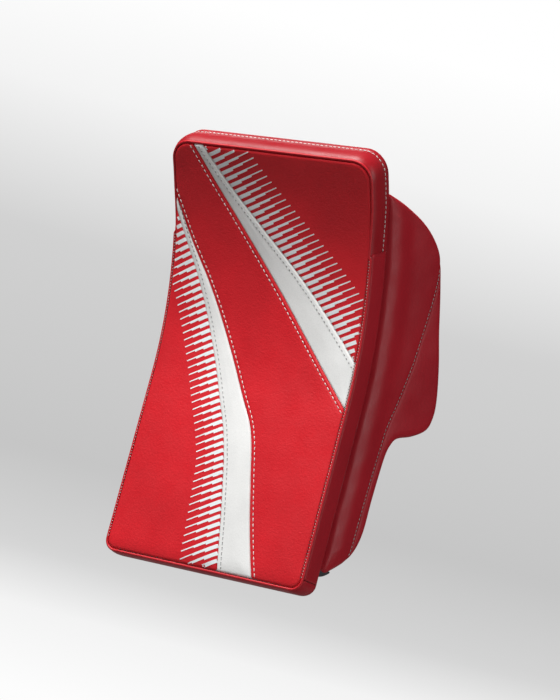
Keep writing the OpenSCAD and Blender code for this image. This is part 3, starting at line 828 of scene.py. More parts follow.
def wing_points(h, z, n):
    """Points of the sideboard at h behind the board, height z and n under its outer face."""
    x = WING_ROOT_X + h * math.sin(WING_FLARE) - n * math.cos(WING_FLARE)
    y = rear_y(z) + h * math.cos(WING_FLARE) + n * math.sin(WING_FLARE)
    return xyz(x, y, z)


def distance_to_line(z, h, line):
    """Distance of places on the sideboard from a polyline of (z, h)."""
    places = np.stack(np.broadcast_arrays(z, h), -1)
    p = places.reshape(-1, 2)
    a, b = line[:-1], line[1:]
    ab = b - a
    t = np.einsum("nmk,mk->nm", p[:, None, :] - a[None], ab) / np.maximum((ab ** 2).sum(1), 1e-9)
    nearest = a[None] + np.clip(t, 0, 1)[..., None] * ab[None]
    return np.linalg.norm(p[:, None, :] - nearest, axis=2).min(1).reshape(places.shape[:-1])


def wing_edge_h(z):
    return np.interp(z, WING_LIMIT[::-1, 0], WING_LIMIT[::-1, 1])


def wing_seam_h(z):
    return np.interp(z, WING_SEAM_LINE[::-1, 0], WING_SEAM_LINE[::-1, 1])


def wing_outer_depth(h, z):
    """Depth of the outer leather: a long swell near the root, a sewn valley, a rolled edge."""
    inside = distance_to_line(z, h, WING_FREE_EDGE)
    body = np.clip(inside / 16, 0, 1)
    swell = 2.9 * bell(h - 13, 11.0) * body
    hollow = 0.45 * bell(h - 31, 10.0) * body
    root = 3.0 * bell(h + 2.5, 3.0)
    seam = distance_to_line(z, h, WING_SEAM_LINE)
    stitched = 0.75 * bell(seam, 1.0)
    puff = 0.9 * (1 - np.exp(-seam / 5)) * np.clip(inside / 7, 0, 1)
    slack = 0.5 * ripple(h * 1.4, z, 12) * body
    return round_over(inside, EDGE_ROUND) - swell + hollow + root + stitched - puff - slack


def wing_inner_depth(h, z):
    """Depth of the lining: soft waves, and the same rolled edge."""
    inside = distance_to_line(z, h, WING_FREE_EDGE)
    waves = 0.35 * ripple(h, z, 21) * np.clip(inside / 10, 0, 1)
    return WING_T + 0.2 - round_over(inside, EDGE_ROUND) + waves


def wing_rows():
    """Heights that follow the outline closely where it turns."""
    line = WING_FREE_EDGE[1:-1]
    even = np.linspace(line[0, 0], line[-1, 0], 90)
    z = np.concatenate([resample(line, 1.6)[:, 0], even, [354, 353.9, 353.6, 353.1, 352.4]])
    return np.unique(np.round(z, 2))


def wing_sheet(name, node, z, lo, hi, depth, thickness, columns, material=SHADED_TRIM_RED, slot="trim_red"):
    """A closed sheet on the sideboard between h = lo and h = hi at heights z."""
    wide = np.flatnonzero(hi - lo > 0.25)
    z, lo, hi = (v[wide[0]:wide[-1] + 1, None] for v in (z, lo, hi))
    h = lo + (np.maximum(hi, lo + 0.05) - lo) * clustered(columns, 0.85)
    n = depth(h, z)
    sheet = slab(name, wing_points(h, z, n), wing_points(h, z, n + thickness), material)
    place(sheet, "board", node, slot=slot)


def wing_binding():
    """Leather folded over the free edge onto the lining."""
    line = resample(WING_LINE, 1.5)
    tangent = unit(np.gradient(line, axis=0))
    inward = np.stack([-tangent[:, 1], tangent[:, 0]], -1)
    r = EDGE_ROUND
    section = arc(r + 0.05, r, r, [200, 180]) + [(0.0, WING_T - r)]
    section += arc(r, WING_T + 0.55 - r, r, [160, 140, 120, 100])
    section += [(7.5, WING_T + 0.7), (9.0, WING_T + 0.55), (9.2, WING_T - 0.4)]
    section += [(6.0, WING_T - 0.8), (2.2, WING_T - 2.2), (1.2, WING_T - 4.0)]
    section += [(1.2, r + 0.5), (1.3, r - 1.0)]
    rings = []
    for (z, h), (iz, ih) in zip(line, inward):
        rings.append([wing_points(h + ih * t, z + iz * t, n) for t, n in section])
    binding = sweep("sideboard_binding_leather", rings, SHADED_TRIM_RED)
    place(binding, "board", "sideboard_binding", slot="trim_red")
    z, h = (line + inward * 8.0).T
    points, under = (wing_points(h, z, WING_T + proud) for proud in (0.75, 0))
    sew("sideboard_binding_stitching", points, under, THREAD_GREY, pitch=4.4, length=3.0)


def lower_end():
    """Black fabric that closes the sideboard's lower end beside the board."""
    across, up = np.meshgrid(np.linspace(0, 1, 16), clustered(12, 0.8))
    h = ROOT_H + 14 * across
    low, high = 19.5 + 5.5 * across ** 2, 27.0
    z = low + (high - low) * up
    soft = 1.2 * (1 - np.sin(np.pi * np.clip(up, 0, 0.5)))
    outer, inner = wing_points(h, z, 1.6 + soft), wing_points(h, z, WING_T - 1.0 - soft)
    place(slab("sideboard_lower_end", outer, inner, TRICOT), "board", slot="lining_black")


def sideboard():
    """The cover and the edge panel meet at the seam, which reaches the free edge at both ends."""
    z = wing_rows()
    root, edge = np.full(len(z), ROOT_H), wing_edge_h(z)
    seam = np.where((z > SEAM_LOW) & (z < SEAM_HIGH), wing_seam_h(z), edge)
    wing_sheet("sideboard_cover_leather", "sideboard_cover", z, root, np.minimum(seam, edge) - 0.12,
               wing_outer_depth, SKIN, 60)
    wing_sheet("sideboard_edge_leather", "sideboard_edge_panel", z, seam + 0.12, edge,
               wing_outer_depth, SKIN, 34)
    wing_sheet("sideboard_lining_fabric", "sideboard_lining", z, root - 1.6, edge,
               wing_inner_depth, -SKIN, 44, TRICOT, "lining_black")
    wing_binding()
    line = resample(WING_SEAM_LINE, 1.5)
    z, h = line[wing_edge_h(line[:, 0]) - line[:, 1] > 3.0].T
    depth = wing_outer_depth(h, z)
    points, under = wing_points(h, z, depth), wing_points(h, z, depth + 1)
    sew("sideboard_seam_stitching", points, under, THREAD_PALE, pitch=3.6, length=2.6)
    lower_end()


# ---- padding made with cloth

def copy_of(node, name, material):
    """A loose copy of a CAD solid's mesh, to be padded."""
    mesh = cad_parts[node].data.copy()
    mesh.name = name
    mesh.materials.clear()
    for attribute in list(mesh.attributes):
        if attribute.name.startswith("_FK"):
            mesh.attributes.remove(attribute)
    return add_object(name, mesh, material)


def apply_modifiers(obj):
    """Bakes an object's modifiers into its mesh."""
    graph = bpy.context.evaluated_depsgraph_get()
    baked = bpy.data.meshes.new_from_object(obj.evaluated_get(graph))
    obj.modifiers.clear()
    old, obj.data = obj.data, baked
    bpy.data.meshes.remove(old)


def read(values, attribute):
    """A mesh's vectors, such as the places of its vertices, as an array."""
    flat = np.empty(len(values) * 3, np.float32)
    values.foreach_get(attribute, flat)
    return flat.reshape(-1, 3).astype(float)


def vertices(obj):
    return read(obj.data.vertices, "co")


def vertex_normals(obj):
    return read(obj.data.vertex_normals, "vector")


def set_vertices(obj, co):
    obj.data.vertices.foreach_set("co", co.astype(np.float32).ravel())
    obj.data.update()


def smooth_shading(obj):
    obj.data.polygons.foreach_set("use_smooth", [True] * len(obj.data.polygons))


def remesh(obj, voxel, smooth_steps):
    modifier = obj.modifiers.new("voxels", "REMESH")
    modifier.mode = "VOXEL"
    modifier.voxel_size = voxel * MM
    smoother = obj.modifiers.new("smooth", "SMOOTH")
    smoother.iterations = smooth_steps
    smoother.factor = 0.5
    apply_modifiers(obj)


def inflate(obj, cap):
    """Cloth simulation: air pressure swells the cover, and no point moves further than cap."""
    rest = vertices(obj)
    settings = obj.modifiers.new("cloth", "CLOTH").settings
    settings.use_pressure = True
    settings.uniform_pressure_force = 4.0
    settings.effector_weights.gravity = 0
    settings.quality = 5
    settings.tension_stiffness = 12
    settings.bending_stiffness = 0.4
    scene = bpy.context.scene
    for number in range(1, 21):
        scene.frame_set(number)
    apply_modifiers(obj)
    scene.frame_set(1)
    moved = vertices(obj) - rest
    reach = np.linalg.norm(moved, axis=1, keepdims=True)
    set_vertices(obj, rest + moved * np.minimum(1, cap * MM / np.maximum(reach, 1e-9)))


def padded_piece(name, node, material, body, slot, shrink, cap, grooves):
    """A stuffed cover in the place of a soft CAD solid, with sewn channels.

    A groove is (axis, value, width, depth): it pulls the cover in where that coordinate is value.
    """
    obj = copy_of(node, name, material)
    remesh(obj, 4.0, 6)
    set_vertices(obj, vertices(obj) - vertex_normals(obj) * shrink * MM)
    inflate(obj, cap)
    modifier = obj.modifiers.new("round", "SUBSURF")
    modifier.levels = modifier.render_levels = 1
    apply_modifiers(obj)
    co, normals = vertices(obj), vertex_normals(obj)
    board_mm = to_board(co)
    for axis, value, width, depth in grooves:
        pull = depth * bell(board_mm[:, axis] - value, width) * (1 - np.abs(normals[:, axis]))
        co = co - normals * pull[:, None] * MM
    set_vertices(obj, co)
    smooth_shading(obj)
    place(obj, body, node, slot=slot)
    return obj


def drop_onto(obj, points, direction):
    """Where rays from these points meet a piece, with its normals there, in board millimetres."""
    tree = BVHTree.FromObject(obj, bpy.context.evaluated_depsgraph_get())
    hits, normals = [], []
    for p in to_frame(points):
        hit, normal, _, _ = tree.ray_cast(Vector(p), Vector(direction))
        if hit is not None:
            hits.append(to_board(hit))
            normals.append(np.array(normal))
    return np.array(hits), np.array(normals)


FROM_BEHIND = (0, -1, 0)


def sewn_lines(name, obj, lines, material, direction=FROM_BEHIND, body="board", pitch=4.4,
               length=3.0):
    """Rows of stitches dropped onto a finished piece."""
    rows = []
    for line in lines:
        hits, normals = drop_onto(obj, resample(np.array(line, float), 1.2), direction)
        if len(hits) > 3:
            rows.append(stitches(name, hits, normals, material, pitch, length, radius=0.36))
    place(joined(name, rows), body)


# ---- back of the hand and palm

GLOVE_X0, GLOVE_X1 = -46.0, 58.0
LINER_FRONT, LINER_REAR = 49.2, 50.6
LINER_Z = 60.0
PALM_REAR, PALM_FRONT = 86.0, 64.0
PALM_SKIN = 1.5
WRIST_Z = 262.0
QUILT = 26.0
KNUCKLE_Y, KNUCKLE_Z = 66.0, 166.0
FINGER_PITCH = 24.0
BEHIND_LINER, BEHIND_PALM, BEHIND_FLAP = 60, 110, 130


def carried_over():
    """CAD parts that keep their own shape get their finish here."""
    finishes = {
        FOAM: ["foam_front", "foam_rear", "sideboard_foam"],
        SHEET_PLASTIC: ["stiffener_sheet", "sideboard_stiffener"],
        PLATE_PLASTIC: ["mounting_plate"],
        STEEL: ["mounting_screws", "screw_washers", "t_nuts"],
    }
    for material, nodes in finishes.items():
        for node in nodes:
            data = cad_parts[node].data
            data.materials.clear()
            data.materials.append(material)


def border_distance(x, z, x0, x1, z0, z1):
    """How far a place is inside a rectangle's sides."""
    return np.minimum(np.minimum(x - x0, x1 - x), np.minimum(z - z0, z1 - z))


def backhand():
    """Foam wedge on the board and the quilted liner that the back of the hand lies on."""
    padded_piece("backhand_wedge", "backhand_pad", FOAM, "board", "foam", shrink=0.8, cap=0.8,
                 grooves=[(2, z, 2.0, 1.2) for z in (100, 140, 180, 220)])
    x = GLOVE_X0 + (GLOVE_X1 - GLOVE_X0) * clustered(70, 0.5)
    z, x = np.meshgrid(np.linspace(LINER_Z, WRIST_Z, 130), x, indexing="ij")
    from_seam = np.minimum(np.abs((x + z) / QUILT % 1 - 0.5), np.abs((x - z) / QUILT % 1 - 0.5))
    border = border_distance(x, z, GLOVE_X0, GLOVE_X1, LINER_Z, WRIST_Z)
    puff = 0.9 * (1 - np.exp(-((0.5 - np.abs(0.5 - from_seam)) * 9) ** 2)) * np.clip(border / 5, 0, 1)
    rim = 0.6 * (1 - np.clip(border / 1.6, 0, 1))
    rear, front = xyz(x, LINER_REAR - 0.3 + puff - rim, z), xyz(x, LINER_FRONT, z)
    liner = slab("backhand_liner_quilted", rear, front, TRICOT)
    place(liner, "board", "backhand_liner", slot="lining_black")
    seams = []
    seam_z = np.linspace(LINER_Z + 4, WRIST_Z - 4, 160)
    for middle in np.arange(-13.5, 12) * QUILT:
        for seam_x in (middle - seam_z, middle + seam_z):
            keep = (seam_x > GLOVE_X0 + 4) & (seam_x < GLOVE_X1 - 4)
            if keep.sum() > 12:
                seams.append(xyz(seam_x, BEHIND_LINER, seam_z)[keep])
    sewn_lines("liner_quilting", liner, seams, THREAD_GREY, pitch=4.0, length=2.6)


def palm_rear(x, z):
    """Rear surface of the palm leather: drawn in over the fingers, creased where it folds."""
    drop = 6.0 * smooth(np.clip((196 - z) / 26, 0, 1))
    crease = 0.9 * bell(z - 205 - 0.20 * (x - 6), 2.2) + 0.7 * bell(z - 222 + 0.35 * (x - 30), 2.4)
    return PALM_REAR - drop - crease * np.clip((x + 40) / 20, 0, 1) + 0.5 * ripple(x * 1.6, z * 1.2, 31)


def standing(line, heights, offsets):
    """Rings of a strip that stands on a line seen from above, each moved sideways by its offset."""
    normal = profile_normals(line)
    rings = []
    for z, offset in zip(heights, offsets):
        rings.append(xyz(*(line + normal * np.reshape(offset, (-1, 1))).T, z))
    return np.array(rings)


def palm():
    """Suede palm: the rear wall and both rounded edges, down to where the fingers bend."""
    side = [(-45.9, y) for y in (64.0, 67, 70, 73)]
    flat = [(x, PALM_REAR) for x in np.linspace(-31, 46, 30)]
    line = side + arc(-34, 74, 12, np.linspace(180, 90, 9)[1:]) + flat + arc(46, 74, 12, [82, 72, 62, 54])
    x, y = np.transpose(line)
    share = np.clip((y - PALM_FRONT) / (PALM_REAR - PALM_FRONT), 0, 1)
    outer, inner = [], []
    for z in np.concatenate([[172, 172.6, 174], np.arange(177, WRIST_Z - 1, 2.5), [WRIST_Z]]):
        ring = np.stack([x, y + share * (palm_rear(x, z) - PALM_REAR)], -1)
        hem = 0.5 if z < 174 or z > WRIST_Z - 3 else 0.0
        outer.append(standing(ring, [z], [-hem])[0])
        inner.append(standing(ring, [z], [PALM_SKIN])[0])
    leather_palm = slab("palm_suede", np.array(outer), np.array(inner), SUEDE)
    place(leather_palm, "board", "palm", slot="palm_grey")
    hems = [[(x, BEHIND_PALM, z) for x in (-40, 0, 50)] for z in (176.5, WRIST_Z - 4)]
    sewn_lines("palm_hem_stitching", leather_palm, hems, THREAD_GREY)
    palm_patch()


def palm_patch():
    """Second layer of suede sewn over the grip."""
    x0, x1, z0, z1, r = -30.0, 42.0, 188.0, 238.0, 9.0
    z = z0 + (z1 - z0) * clustered(40, 0.7)
    cut = np.maximum(round_over(z - z0, r), round_over(z1 - z, r))[:, None]
    x = x0 + cut + (x1 - x0 - 2 * cut) * clustered(46, 0.7)
    z = z[:, None]
    border = border_distance(x, z, x0 + cut, x1 - cut, z0, z1)
    edge = 0.7 * (1 - np.clip(border / 0.8, 0, 1) ** 0.5)
    valley = 0.35 * bell(border - 3.0, 0.9)
    rear, front = xyz(x, palm_rear(x, z) + 1.45 - edge - valley, z), xyz(x, palm_rear(x, z) - 0.1, z)
    patch = slab("palm_overlay_suede", rear, front, SUEDE_DARK)
    place(patch, "board", "palm_overlay", slot="palm_grey")
    m = 3.0
    n = m + 2
    loop = [(x0 + r, z0 + m), (x1 - r, z0 + m), (x1 - n, z0 + n), (x1 - m, z0 + r),
            (x1 - m, z1 - r), (x1 - n, z1 - n), (x1 - r, z1 - m), (x0 + r, z1 - m),
            (x0 + n, z1 - n), (x0 + m, z1 - r), (x0 + m, z0 + r), (x0 + n, z0 + n), (x0 + r, z0 + m)]
    sewn_lines("palm_overlay_stitching", patch, [[(x, BEHIND_PALM, z) for x, z in loop]], THREAD_GREY)


def gussets():
    """Mesh side walls: a pleated strip on the little-finger side and the pocket of the thumb."""
    z = np.linspace(170, WRIST_Z, 60)[:, None]
    y = np.linspace(LINER_REAR + 0.2, 64.6, 16)
    belly = np.sin(np.pi * (y - y.min()) / (y.max() - y.min()))
    out = 1.1 * belly + 0.35 * np.sin(z / 2.6) * belly
    outer, inner = (xyz(GLOVE_X0 + depth - out, y, z) for depth in (0.4, 1.5))
    place(slab("gusset_pinky_mesh", outer, inner, MESH), "board", "gusset_pinky", slot="mesh_black")
    pocket = copy_of("gusset_thumb", "gusset_thumb_mesh", MESH)
    remesh(pocket, 0.9, 14)
    co = vertices(pocket)
    wave = 0.25 * ripple(co[:, 1] / MM * 4, co[:, 2] / MM * 4, 41)
    set_vertices(pocket, co + vertex_normals(pocket) * wave[:, None] * MM)
    smooth_shading(pocket)
    place(pocket, "board", "gusset_thumb", slot="mesh_black")


# ---- fingers and thumb

ANGLES = np.linspace(0, 2 * math.pi, 40, endpoint=False)
# creases across a joint, as (place from the joint, depth)
CREASES = ((-6.5, 0.7), (-2.6, 1.2), (1.4, 1.3), (5.2, 0.8))
STALL_WALL = 1.5
LAP = 1.5
TIP_PROUD = 0.35
JOINT_REACH = 9


class Finger:
    """A leather stall round a centreline in the x = const plane, which bends at two joints.

    base is the knuckle as (y, z), tilts are its slopes in degrees before, between and after the
    joints, and a place t along it is measured from the knuckle.
    """

    def __init__(self, x, base, tilts, lengths, back, radius, seed, palm=1.0):
        self.x, self.lengths, self.back = x, lengths, back
        self.radius, self.seed, self.palm = radius, seed, palm
        start, first, second = np.radians(tilts)
        self.t = np.arange(-back, sum(lengths) + 0.01, 0.5)
        self.lean = (start + (first - start) * self.turned(0, 7)
                     + (second - first) * self.turned(lengths[0], 9))
        path = np.cumsum(np.stack([np.sin(self.lean), -np.cos(self.lean)], -1) * 0.5, 0)
        self.path = path + base - path[np.argmin(np.abs(self.t))]

    def turned(self, joint, half):
        return smooth(np.clip((self.t - joint + half) / (2 * half), 0, 1))

    def point(self, t):
        return np.array([self.x] + [np.interp(t, self.t, self.path[:, k]) for k in (0, 1)])

    def ring(self, t, radii, angles):
        """Points round the centreline: angle 0 is the thumb side, 90 degrees the palm side."""
        lean = np.interp(t, self.t, self.lean)
        palm_side = np.array([0, math.cos(lean), math.sin(lean)])
        across = np.array([1.0, 0, 0])
        return (self.point(t) + np.outer(radii * np.cos(angles), across)
                + np.outer(radii * np.sin(angles), palm_side))

    def radii(self, t, proud=0.0):
        """Leather radius at one place: creases round the joints, a seam on both sides, small slack."""
        radius = self.radius + proud
        r = np.full(len(ANGLES), radius)
        palm_side = np.clip(np.sin(ANGLES) * self.palm, 0, 1)
        for joint in (0.0, self.lengths[0]):
            for k, depth in CREASES:
                r = r - depth * bell(t - joint - k, 1.0) * (0.30 + 0.70 * palm_side)
        for seam in (0.0, math.pi):
            off = np.abs(np.angle(np.exp(1j * (ANGLES - seam)))) * radius
            r = r - 0.9 * bell(off, 0.9) + 0.25 * bell(off - 2.4, 1.2)
        return r + 0.22 * ripple(ANGLES * radius, np.full(len(ANGLES), t * 1.5), self.seed)


def stall_tube(name, finger, t0, t1, proud, closed):
    """A leather tube with a real wall; a closed one ends in a rounded tip."""
    tip = finger.radius + proud
    ts = np.arange(t0, t1 - (tip if closed else 0), 1.0)

    def layer(inside):
        rings = [finger.ring(t, finger.radii(t, proud) - inside, ANGLES) for t in ts]
        base = finger.radii(ts[-1], proud) - inside
        for a in np.radians(np.linspace(8, 86, 10)) if closed else ():
            reach = 0.5 + (tip - inside) * 0.92 * math.sin(a)
            rings.append(finger.ring(ts[-1] + reach, base * math.cos(a), ANGLES))
        return np.array(rings)

    outer, inner = layer(0), layer(STALL_WALL)
    if not closed:
        return sweep(name, np.concatenate([outer, inner[::-1]]), SUEDE, loop=True)
    rows, cols = outer.shape[:2]
    count = rows * cols
    faces = quads(rows, cols, wrap_cols=True) + quads(rows, cols, count, wrap_cols=True)
    faces += [[j, (j + 1) % cols, count + (j + 1) % cols, count + j] for j in range(cols)]
    faces += [list(range(end - cols, end)) for end in (count, 2 * count)]
    return piece(name, np.stack([outer, inner]), faces, SUEDE)


def bend_between(obj, bodies, finger, at):
    """The piece bends between two bodies round the joint at that place on the finger."""
    start, end = (tuple(to_frame(finger.point(at + reach))) for reach in (-JOINT_REACH, JOINT_REACH))
    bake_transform(obj, *bodies, start=start, end=end)


def side_seam(name, finger, t0, t1, proud, side):
    """Stitches beside the seam on one flank of a stall."""
    flank = 0 if side > 0 else len(ANGLES) // 2
    points, normals = [], []
    for t in np.arange(t0, t1, 1.0):
        beside = finger.ring(t, finger.radii(t, proud), ANGLES)[(flank + 2 * side) % len(ANGLES)]
        points.append(beside)
        normals.append(beside - finger.point(t))
    normals = unit(np.array(normals))
    return stitches(name, points, normals, THREAD_WHITE, pitch=3.4, length=2.3, radius=0.32)


def finger_set(name, finger, bodies, nodes):
    """Two overlapping stall sections: each bends round one joint and they meet between the joints."""
    first_l, last_l = finger.lengths
    split = first_l * 0.5
    sections = (
        # level, bodies, joint, from, to, stands proud, sewn from, sewn to
        ("low", bodies[:2], 0, -finger.back, split + LAP, 0.0, 4 - finger.back, split - 3),
        ("high", bodies[1:], first_l, split - LAP, first_l + last_l, TIP_PROUD, split + 2,
         first_l + last_l - finger.radius),
    )
    for node, (level, pair, joint, t0, t1, proud, sewn0, sewn1) in zip(nodes, sections):
        stall = stall_tube(f"{node}_suede", finger, t0, t1, proud, closed=level == "high")
        bend_between(stall, pair, finger, joint)
        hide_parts(node)
        seams = [side_seam(name, finger, sewn0, sewn1, proud, side) for side in (1, -1)]
        bend_between(joined(f"{name}_seam_stitches_{level}", seams), pair, finger, joint)
    mouth = split - LAP
    rings = [finger.ring(mouth + 0.55 * math.cos(a), finger.radii(mouth, 0.45 + 0.55 * math.sin(a)), ANGLES)
             for a in np.linspace(0, 2 * math.pi, 8, endpoint=False)]
    place(sweep(f"{name}_collar", rings, SUEDE_DARK, loop=True), bodies[1])


def side_guard(name, node, body, finger, t0, t1, radius, thickness, ribs):
    """Padded leather ribs over the thumb side of a stall."""
    reach = np.radians(72)
    spread = np.linspace(-reach, reach, 30)
    edge = np.clip((reach - np.abs(spread)) / 0.30, 0, 1) ** 0.5
    outer, inner = [], []
    for along in clustered(60, 0.6):
        t = t0 + (t1 - t0) * along
        rib = abs(math.sin(math.pi * along * ribs)) ** 0.45
        outer.append(finger.ring(t, radius + 0.7 + (thickness - 0.7) * rib * edge, spread))
        inner.append(finger.ring(t, np.full(len(spread), radius), spread))
    guard = slab(name, np.array(outer), np.array(inner), SHADED_TRIM_RED)
    place(guard, body, node, slot="trim_red")
    rows = []
    for k in range(1, ribs):
        t = t0 + (t1 - t0) * k / ribs
        line = finger.ring(t, np.full(len(spread), radius + 0.85), spread)[2:-2]
        out = line - finger.point(t)
        rows.append(stitches(name, line, out, THREAD_WHITE, pitch=3.0, length=2.0, radius=0.28))
    place(joined(f"{name}_stitching", rows), body)


def fingers():
    for i, name in enumerate(("pinky", "ring", "middle", "index")):
        x = HAND_X + (i - 1.5) * FINGER_PITCH
        finger = Finger(x, (KNUCKLE_Y, KNUCKLE_Z), tilts=(4, 25, 60), lengths=(50, 42), back=13,
                        radius=11.3, seed=50 + i)
        bodies = ("board", f"{name}_finger", f"{name}_fingertip")
        finger_set(name, finger, bodies, (f"stall_{name}", f"tip_{name}"))
    side_guard("index_guard_leather", "index_guard", "index_finger", finger, 11, 42,
               radius=11.6, thickness=3.6, ribs=3)
    thumb = Finger(74.0, (74, 216), tilts=(44, 40, 24), lengths=(48, 41), back=5,
                   radius=12.8, seed=60, palm=-1.0)
    finger_set("thumb", thumb, ("board", "thumb", "thumb_tip"), ("thumb_stall", "thumb_tip"))
    side_guard("thumb_shield_leather", "thumb_shield", "thumb", thumb, 12, 38,
               radius=13.4, thickness=3.0, ribs=2)


# ---- cuff and strap

CUFF_ROWS = (290, 314)
BINDING_Z = 337.6
STRAP_Z0, STRAP_Z1 = 280.0, 318.0
TAPE_Z0, TAPE_Z1 = 282, 316


def around_cuff(x0, x1, front, rear, r):
    """The cuff's U from the little-finger side round the back of the hand to the thumb side."""
    legs = np.linspace(rear, front + r, 16)
    line = [(x0, y) for y in legs]
    line += arc(x0 + r, front + r, r, np.linspace(190, 260, 7))
    line += [(x, front) for x in np.linspace(x0 + r, x1 - r, 30)]
    line += arc(x1 - r, front + r, r, np.linspace(280, 350, 7))
    return np.array(line + [(x1, y) for y in legs[::-1]])


def cuff_padding():
    rows = [(2, z, 1.8, 1.6) for z in CUFF_ROWS]
    back = padded_piece("cuff_back_padding", "cuff_back_pad", SHADED_TRIM_RED, "board", "trim_red",
                        shrink=1.6, cap=2.0, grooves=rows + [(0, -12, 2.0, 1.6), (0, 24, 2.0, 1.6)])
    lines = [[(-40, 60, z), (52, 60, z)] for z in CUFF_ROWS]
    sewn_lines("cuff_back_stitching", back, lines, THREAD_GREY)
    for label, sign, x in (("pinky", -1, -51.2), ("thumb", 1, 63.2)):
        wall = padded_piece(f"cuff_{label}_padding", f"cuff_wall_{label}", SHADED_TRIM_RED, "board", "trim_red",
                            shrink=1.5, cap=1.9, grooves=rows + [(1, 52, 2.0, 1.2)])
        lines = [[(x + sign * 40, 40, z), (x + sign * 40, 92, z)] for z in CUFF_ROWS]
        sewn_lines(f"cuff_{label}_stitching", wall, lines, THREAD_WHITE, direction=(-sign, 0, 0))


def cuff_lining():
    line = around_cuff(GLOVE_X0 + 0.9, GLOVE_X1 - 0.9, 48.9, 90.0, 6)
    heights = np.linspace(269, 331, 26)
    slack = [0.7 + 0.25 * ripple(np.arange(len(line)) * 2.0, z, 71) for z in heights]
    outer, inner = standing(line, heights, slack), standing(line, heights, [-0.7] * len(heights))
    place(slab("cuff_lining", outer, inner, TRICOT), "board", "cuff_liner", slot="lining_black")


def cuff_binding():
    """Tape folded over the cuff's top edge."""
    line = around_cuff(GLOVE_X0 - 5, GLOVE_X1 + 5, 41.5, 94.0, 7)
    normal = profile_normals(line)
    section = [(5.4, 0.2), (5.5, 1.6), (4.6, 3.0), (2.5, 3.5), (0, 3.6), (-2.5, 3.5), (-4.6, 3.0),
               (-5.5, 1.6), (-5.4, 0.2), (-4.0, -0.6), (0, -0.8), (4.0, -0.6)]
    rings = [[np.append(p + n * o, BINDING_Z + h) for o, h in section] for p, n in zip(line, normal)]
    place(sweep("cuff_binding_tape", rings, ELASTIC), "board", "cuff_binding", slot="lining_black")
    top = standing(line, [BINDING_Z + 3.3], [3.6])[0]
    sew("cuff_binding_stitching", top, top - (0, 0, 1), THREAD_GREY, pitch=4.0, length=2.6)


def strap_line():
    """The strap's middle line seen from above: across the flap and down the little-finger side."""
    line = [(x, 107.3) for x in np.linspace(63.6, -52.4, 50)]
    line += arc(-52.4, 100.3, 7, np.linspace(100, 180, 9))
    return np.array(line + [(-59.4, y) for y in np.linspace(98, 74.5, 12)])


def hook_and_loop(name, node, x, y0, y1, body):
    """A patch of tape on the little-finger side, napped and thinner at its rim."""
    y, z = np.meshgrid(np.linspace(y0, y1, 24), np.linspace(TAPE_Z0, TAPE_Z1, 36), indexing="ij")
    rim = np.clip(border_distance(y, z, y0, y1, TAPE_Z0, TAPE_Z1) / 0.8, 0, 1) ** 0.5
    nap = 0.10 * np.sin(y * 3.1) * np.sin(z * 2.9)
    tape = slab(name, xyz(x - 0.40 * rim - nap, y, z), xyz(x + 0.40, y, z), HOOK)
    place(tape, body, node, slot="hook_loop")


def wrist_flap():
    """Padded flap over the wrist, closed by a ribbed elastic strap."""
    flap = padded_piece("wrist_flap_padding", "wrist_pad", SHADED_TRIM_RED, "wrist_flap", "trim_red",
                        shrink=1.5, cap=1.7, grooves=[(0, -30, 2.0, 1.3), (0, 42, 2.0, 1.3)])
    lines = [[(-42, BEHIND_FLAP, z), (56, BEHIND_FLAP, z)] for z in (276.8, 322.6)]
    sewn_lines("wrist_flap_stitching", flap, lines, THREAD_WHITE, body="wrist_flap")
    line = strap_line()
    z = STRAP_Z0 + (STRAP_Z1 - STRAP_Z0) * clustered(28, 0.6)
    rim = np.clip(np.minimum(z - STRAP_Z0, STRAP_Z1 - z), 0, 1) ** 0.5
    wave = 0.125 * np.sin(np.arange(len(line)) / 2.3)
    outer = standing(line, z, [0.35 + 0.65 * r + wave for r in rim])
    strap = slab("wrist_strap_elastic", outer, standing(line, z, -0.35 - 0.55 * rim), ELASTIC)
    place(strap, "wrist_flap", "wrist_strap", slot="elastic_black")
    box = [(60, 283), (46, 283), (46, 315), (60, 315), (60, 283), (46, 315), (60, 315), (46, 283)]
    sewn_lines("wrist_strap_box_stitch", strap, [[(x, BEHIND_FLAP, z) for x, z in box]], THREAD_WHITE,
               body="wrist_flap", pitch=3.0, length=2.0)
    hook_and_loop("hook_patch_tape", "strap_hook_patch", -57.85, 75, 95, "wrist_flap")
    hook_and_loop("loop_patch_tape", "strap_loop_patch", -56.75, 48, 95, "board")


# ---- camera and studio

FLOOR_Z = -0.45
# grey level of the background at heights above the horizon
SKY = ((0.0, 0.98), (0.035, 0.90), (0.06, 0.66), (0.10, 0.56), (0.19, 0.64), (0.25, 0.90), (0.30, 1.0))


def aim_camera():
    """The camera stands low in front of the thumb side, turned a little on its own axis."""
    azimuth, elevation, roll, distance = 0.5188, -0.1596, 0.2604, 2.07641
    target = Vector(to_frame((0, 15, 190)))
    back = Vector((math.sin(azimuth) * math.cos(elevation), -math.cos(azimuth) * math.cos(elevation),
                   math.sin(elevation)))
    right = Vector((math.cos(azimuth), math.sin(azimuth), 0))
    up = back.cross(right)
    turned_right = right * math.cos(roll) + up * math.sin(roll)
    turned_up = up * math.cos(roll) - right * math.sin(roll)
    data = bpy.data.cameras.new("camera")
    data.lens = 119.79
    data.sensor_width = 36
    data.shift_x, data.shift_y = 0.0265, 0.0242
    camera = bpy.data.objects.new("camera", data)
    rotation = Matrix((turned_right, turned_up, back)).transposed().to_4x4()
    camera.matrix_world = Matrix.Translation(target + back * distance) @ rotation
    bpy.context.scene.collection.objects.link(camera)
    bpy.context.scene.camera = camera


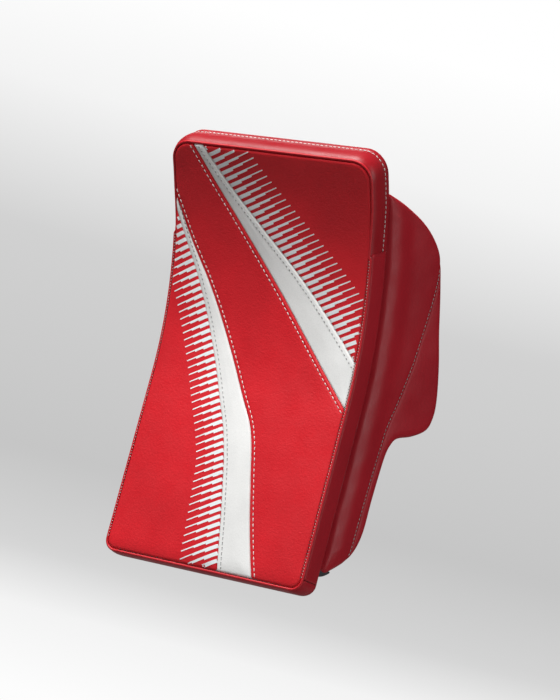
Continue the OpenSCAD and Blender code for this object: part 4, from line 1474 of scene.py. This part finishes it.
def area_light(name, stands_at, size, power):
    """A rectangular lamp aimed at the middle of the object."""
    data = bpy.data.lights.new(name, "AREA")
    data.shape = "RECTANGLE"
    data.size, data.size_y = size
    data.energy = power
    light = bpy.data.objects.new(name, data)
    light.location = stands_at
    light.rotation_mode = "QUATERNION"
    light.rotation_quaternion = (-Vector(stands_at)).to_track_quat("-Z", "Y")
    bpy.context.scene.collection.objects.link(light)


def floor():
    """Pale paper with a little painted glow, which grows where it runs back to meet the background."""
    bpy.ops.mesh.primitive_plane_add(size=12, location=(0, 0, FLOOR_Z))
    obj = bpy.context.active_object
    obj.name = "floor"
    n = Surface("floor_paper")
    fibre = n.noise(400.0, 4.0)
    pale = n.mix(fibre, (0.46, 0.46, 0.46, 1), (0.50, 0.50, 0.50, 1))
    seen = n.camera_ray()
    away = n.add("VectorMath", {"operation": "LENGTH"}, Vector=n.coords).outputs["Value"]
    # painted glow: emission seen only by the camera, growing with distance from the floor's middle
    painted_glow = n.calc("MULTIPLY", n.remap(away, 0.4, 2.2, 0, 0.86), seen)
    colour = n.mix(seen, (0.18, 0.18, 0.18, 1), pale)
    paper = n.finish(colour, 0.8, fibre, 0.05, Emission_Color=(1, 1, 1, 1), Emission_Strength=painted_glow)
    obj.data.materials.append(paper)


def background():
    """White overhead and at the horizon, grey between; the object itself is lit by a dim even fill."""
    world = bpy.data.worlds.new("studio")
    bpy.context.scene.world = world
    world.use_nodes = True
    n = Nodes(world.node_tree)
    height = n.add("SeparateXYZ", Vector=n.add("TexCoord").outputs["Generated"]).outputs["Z"]
    sky = n.add("ValToRGB", Fac=height)
    ramp = sky.color_ramp.elements
    for at, level in SKY:
        ramp.new(at).color = (level, level, level, 1)
    ramp.remove(ramp[0])
    fill = n.mix(n.remap(height, -0.2, 0.9, 0, 1), (0.04, 0.04, 0.04, 1), (0.10, 0.10, 0.10, 1))
    n.connect(n.mix(n.camera_ray(), fill, sky.outputs["Color"]), n.tree.nodes["Background"].inputs["Color"])


front_face()
board_edge()
back_of_board()
sideboard()
carried_over()
backhand()
palm()
gussets()
fingers()
cuff_padding()
cuff_lining()
cuff_binding()
wrist_flap()

aim_camera()
floor()
background()
area_light("key", (-0.52, -1.28, 1.82), (1.1, 0.8), 98)
area_light("side_strip", (1.75, -0.30, 0.35), (0.3, 1.7), 13.5)
area_light("rear_fill", (-0.9, 1.6, 0.9), (1.2, 1.2), 14)
bpy.context.scene.view_settings.view_transform = "Standard"
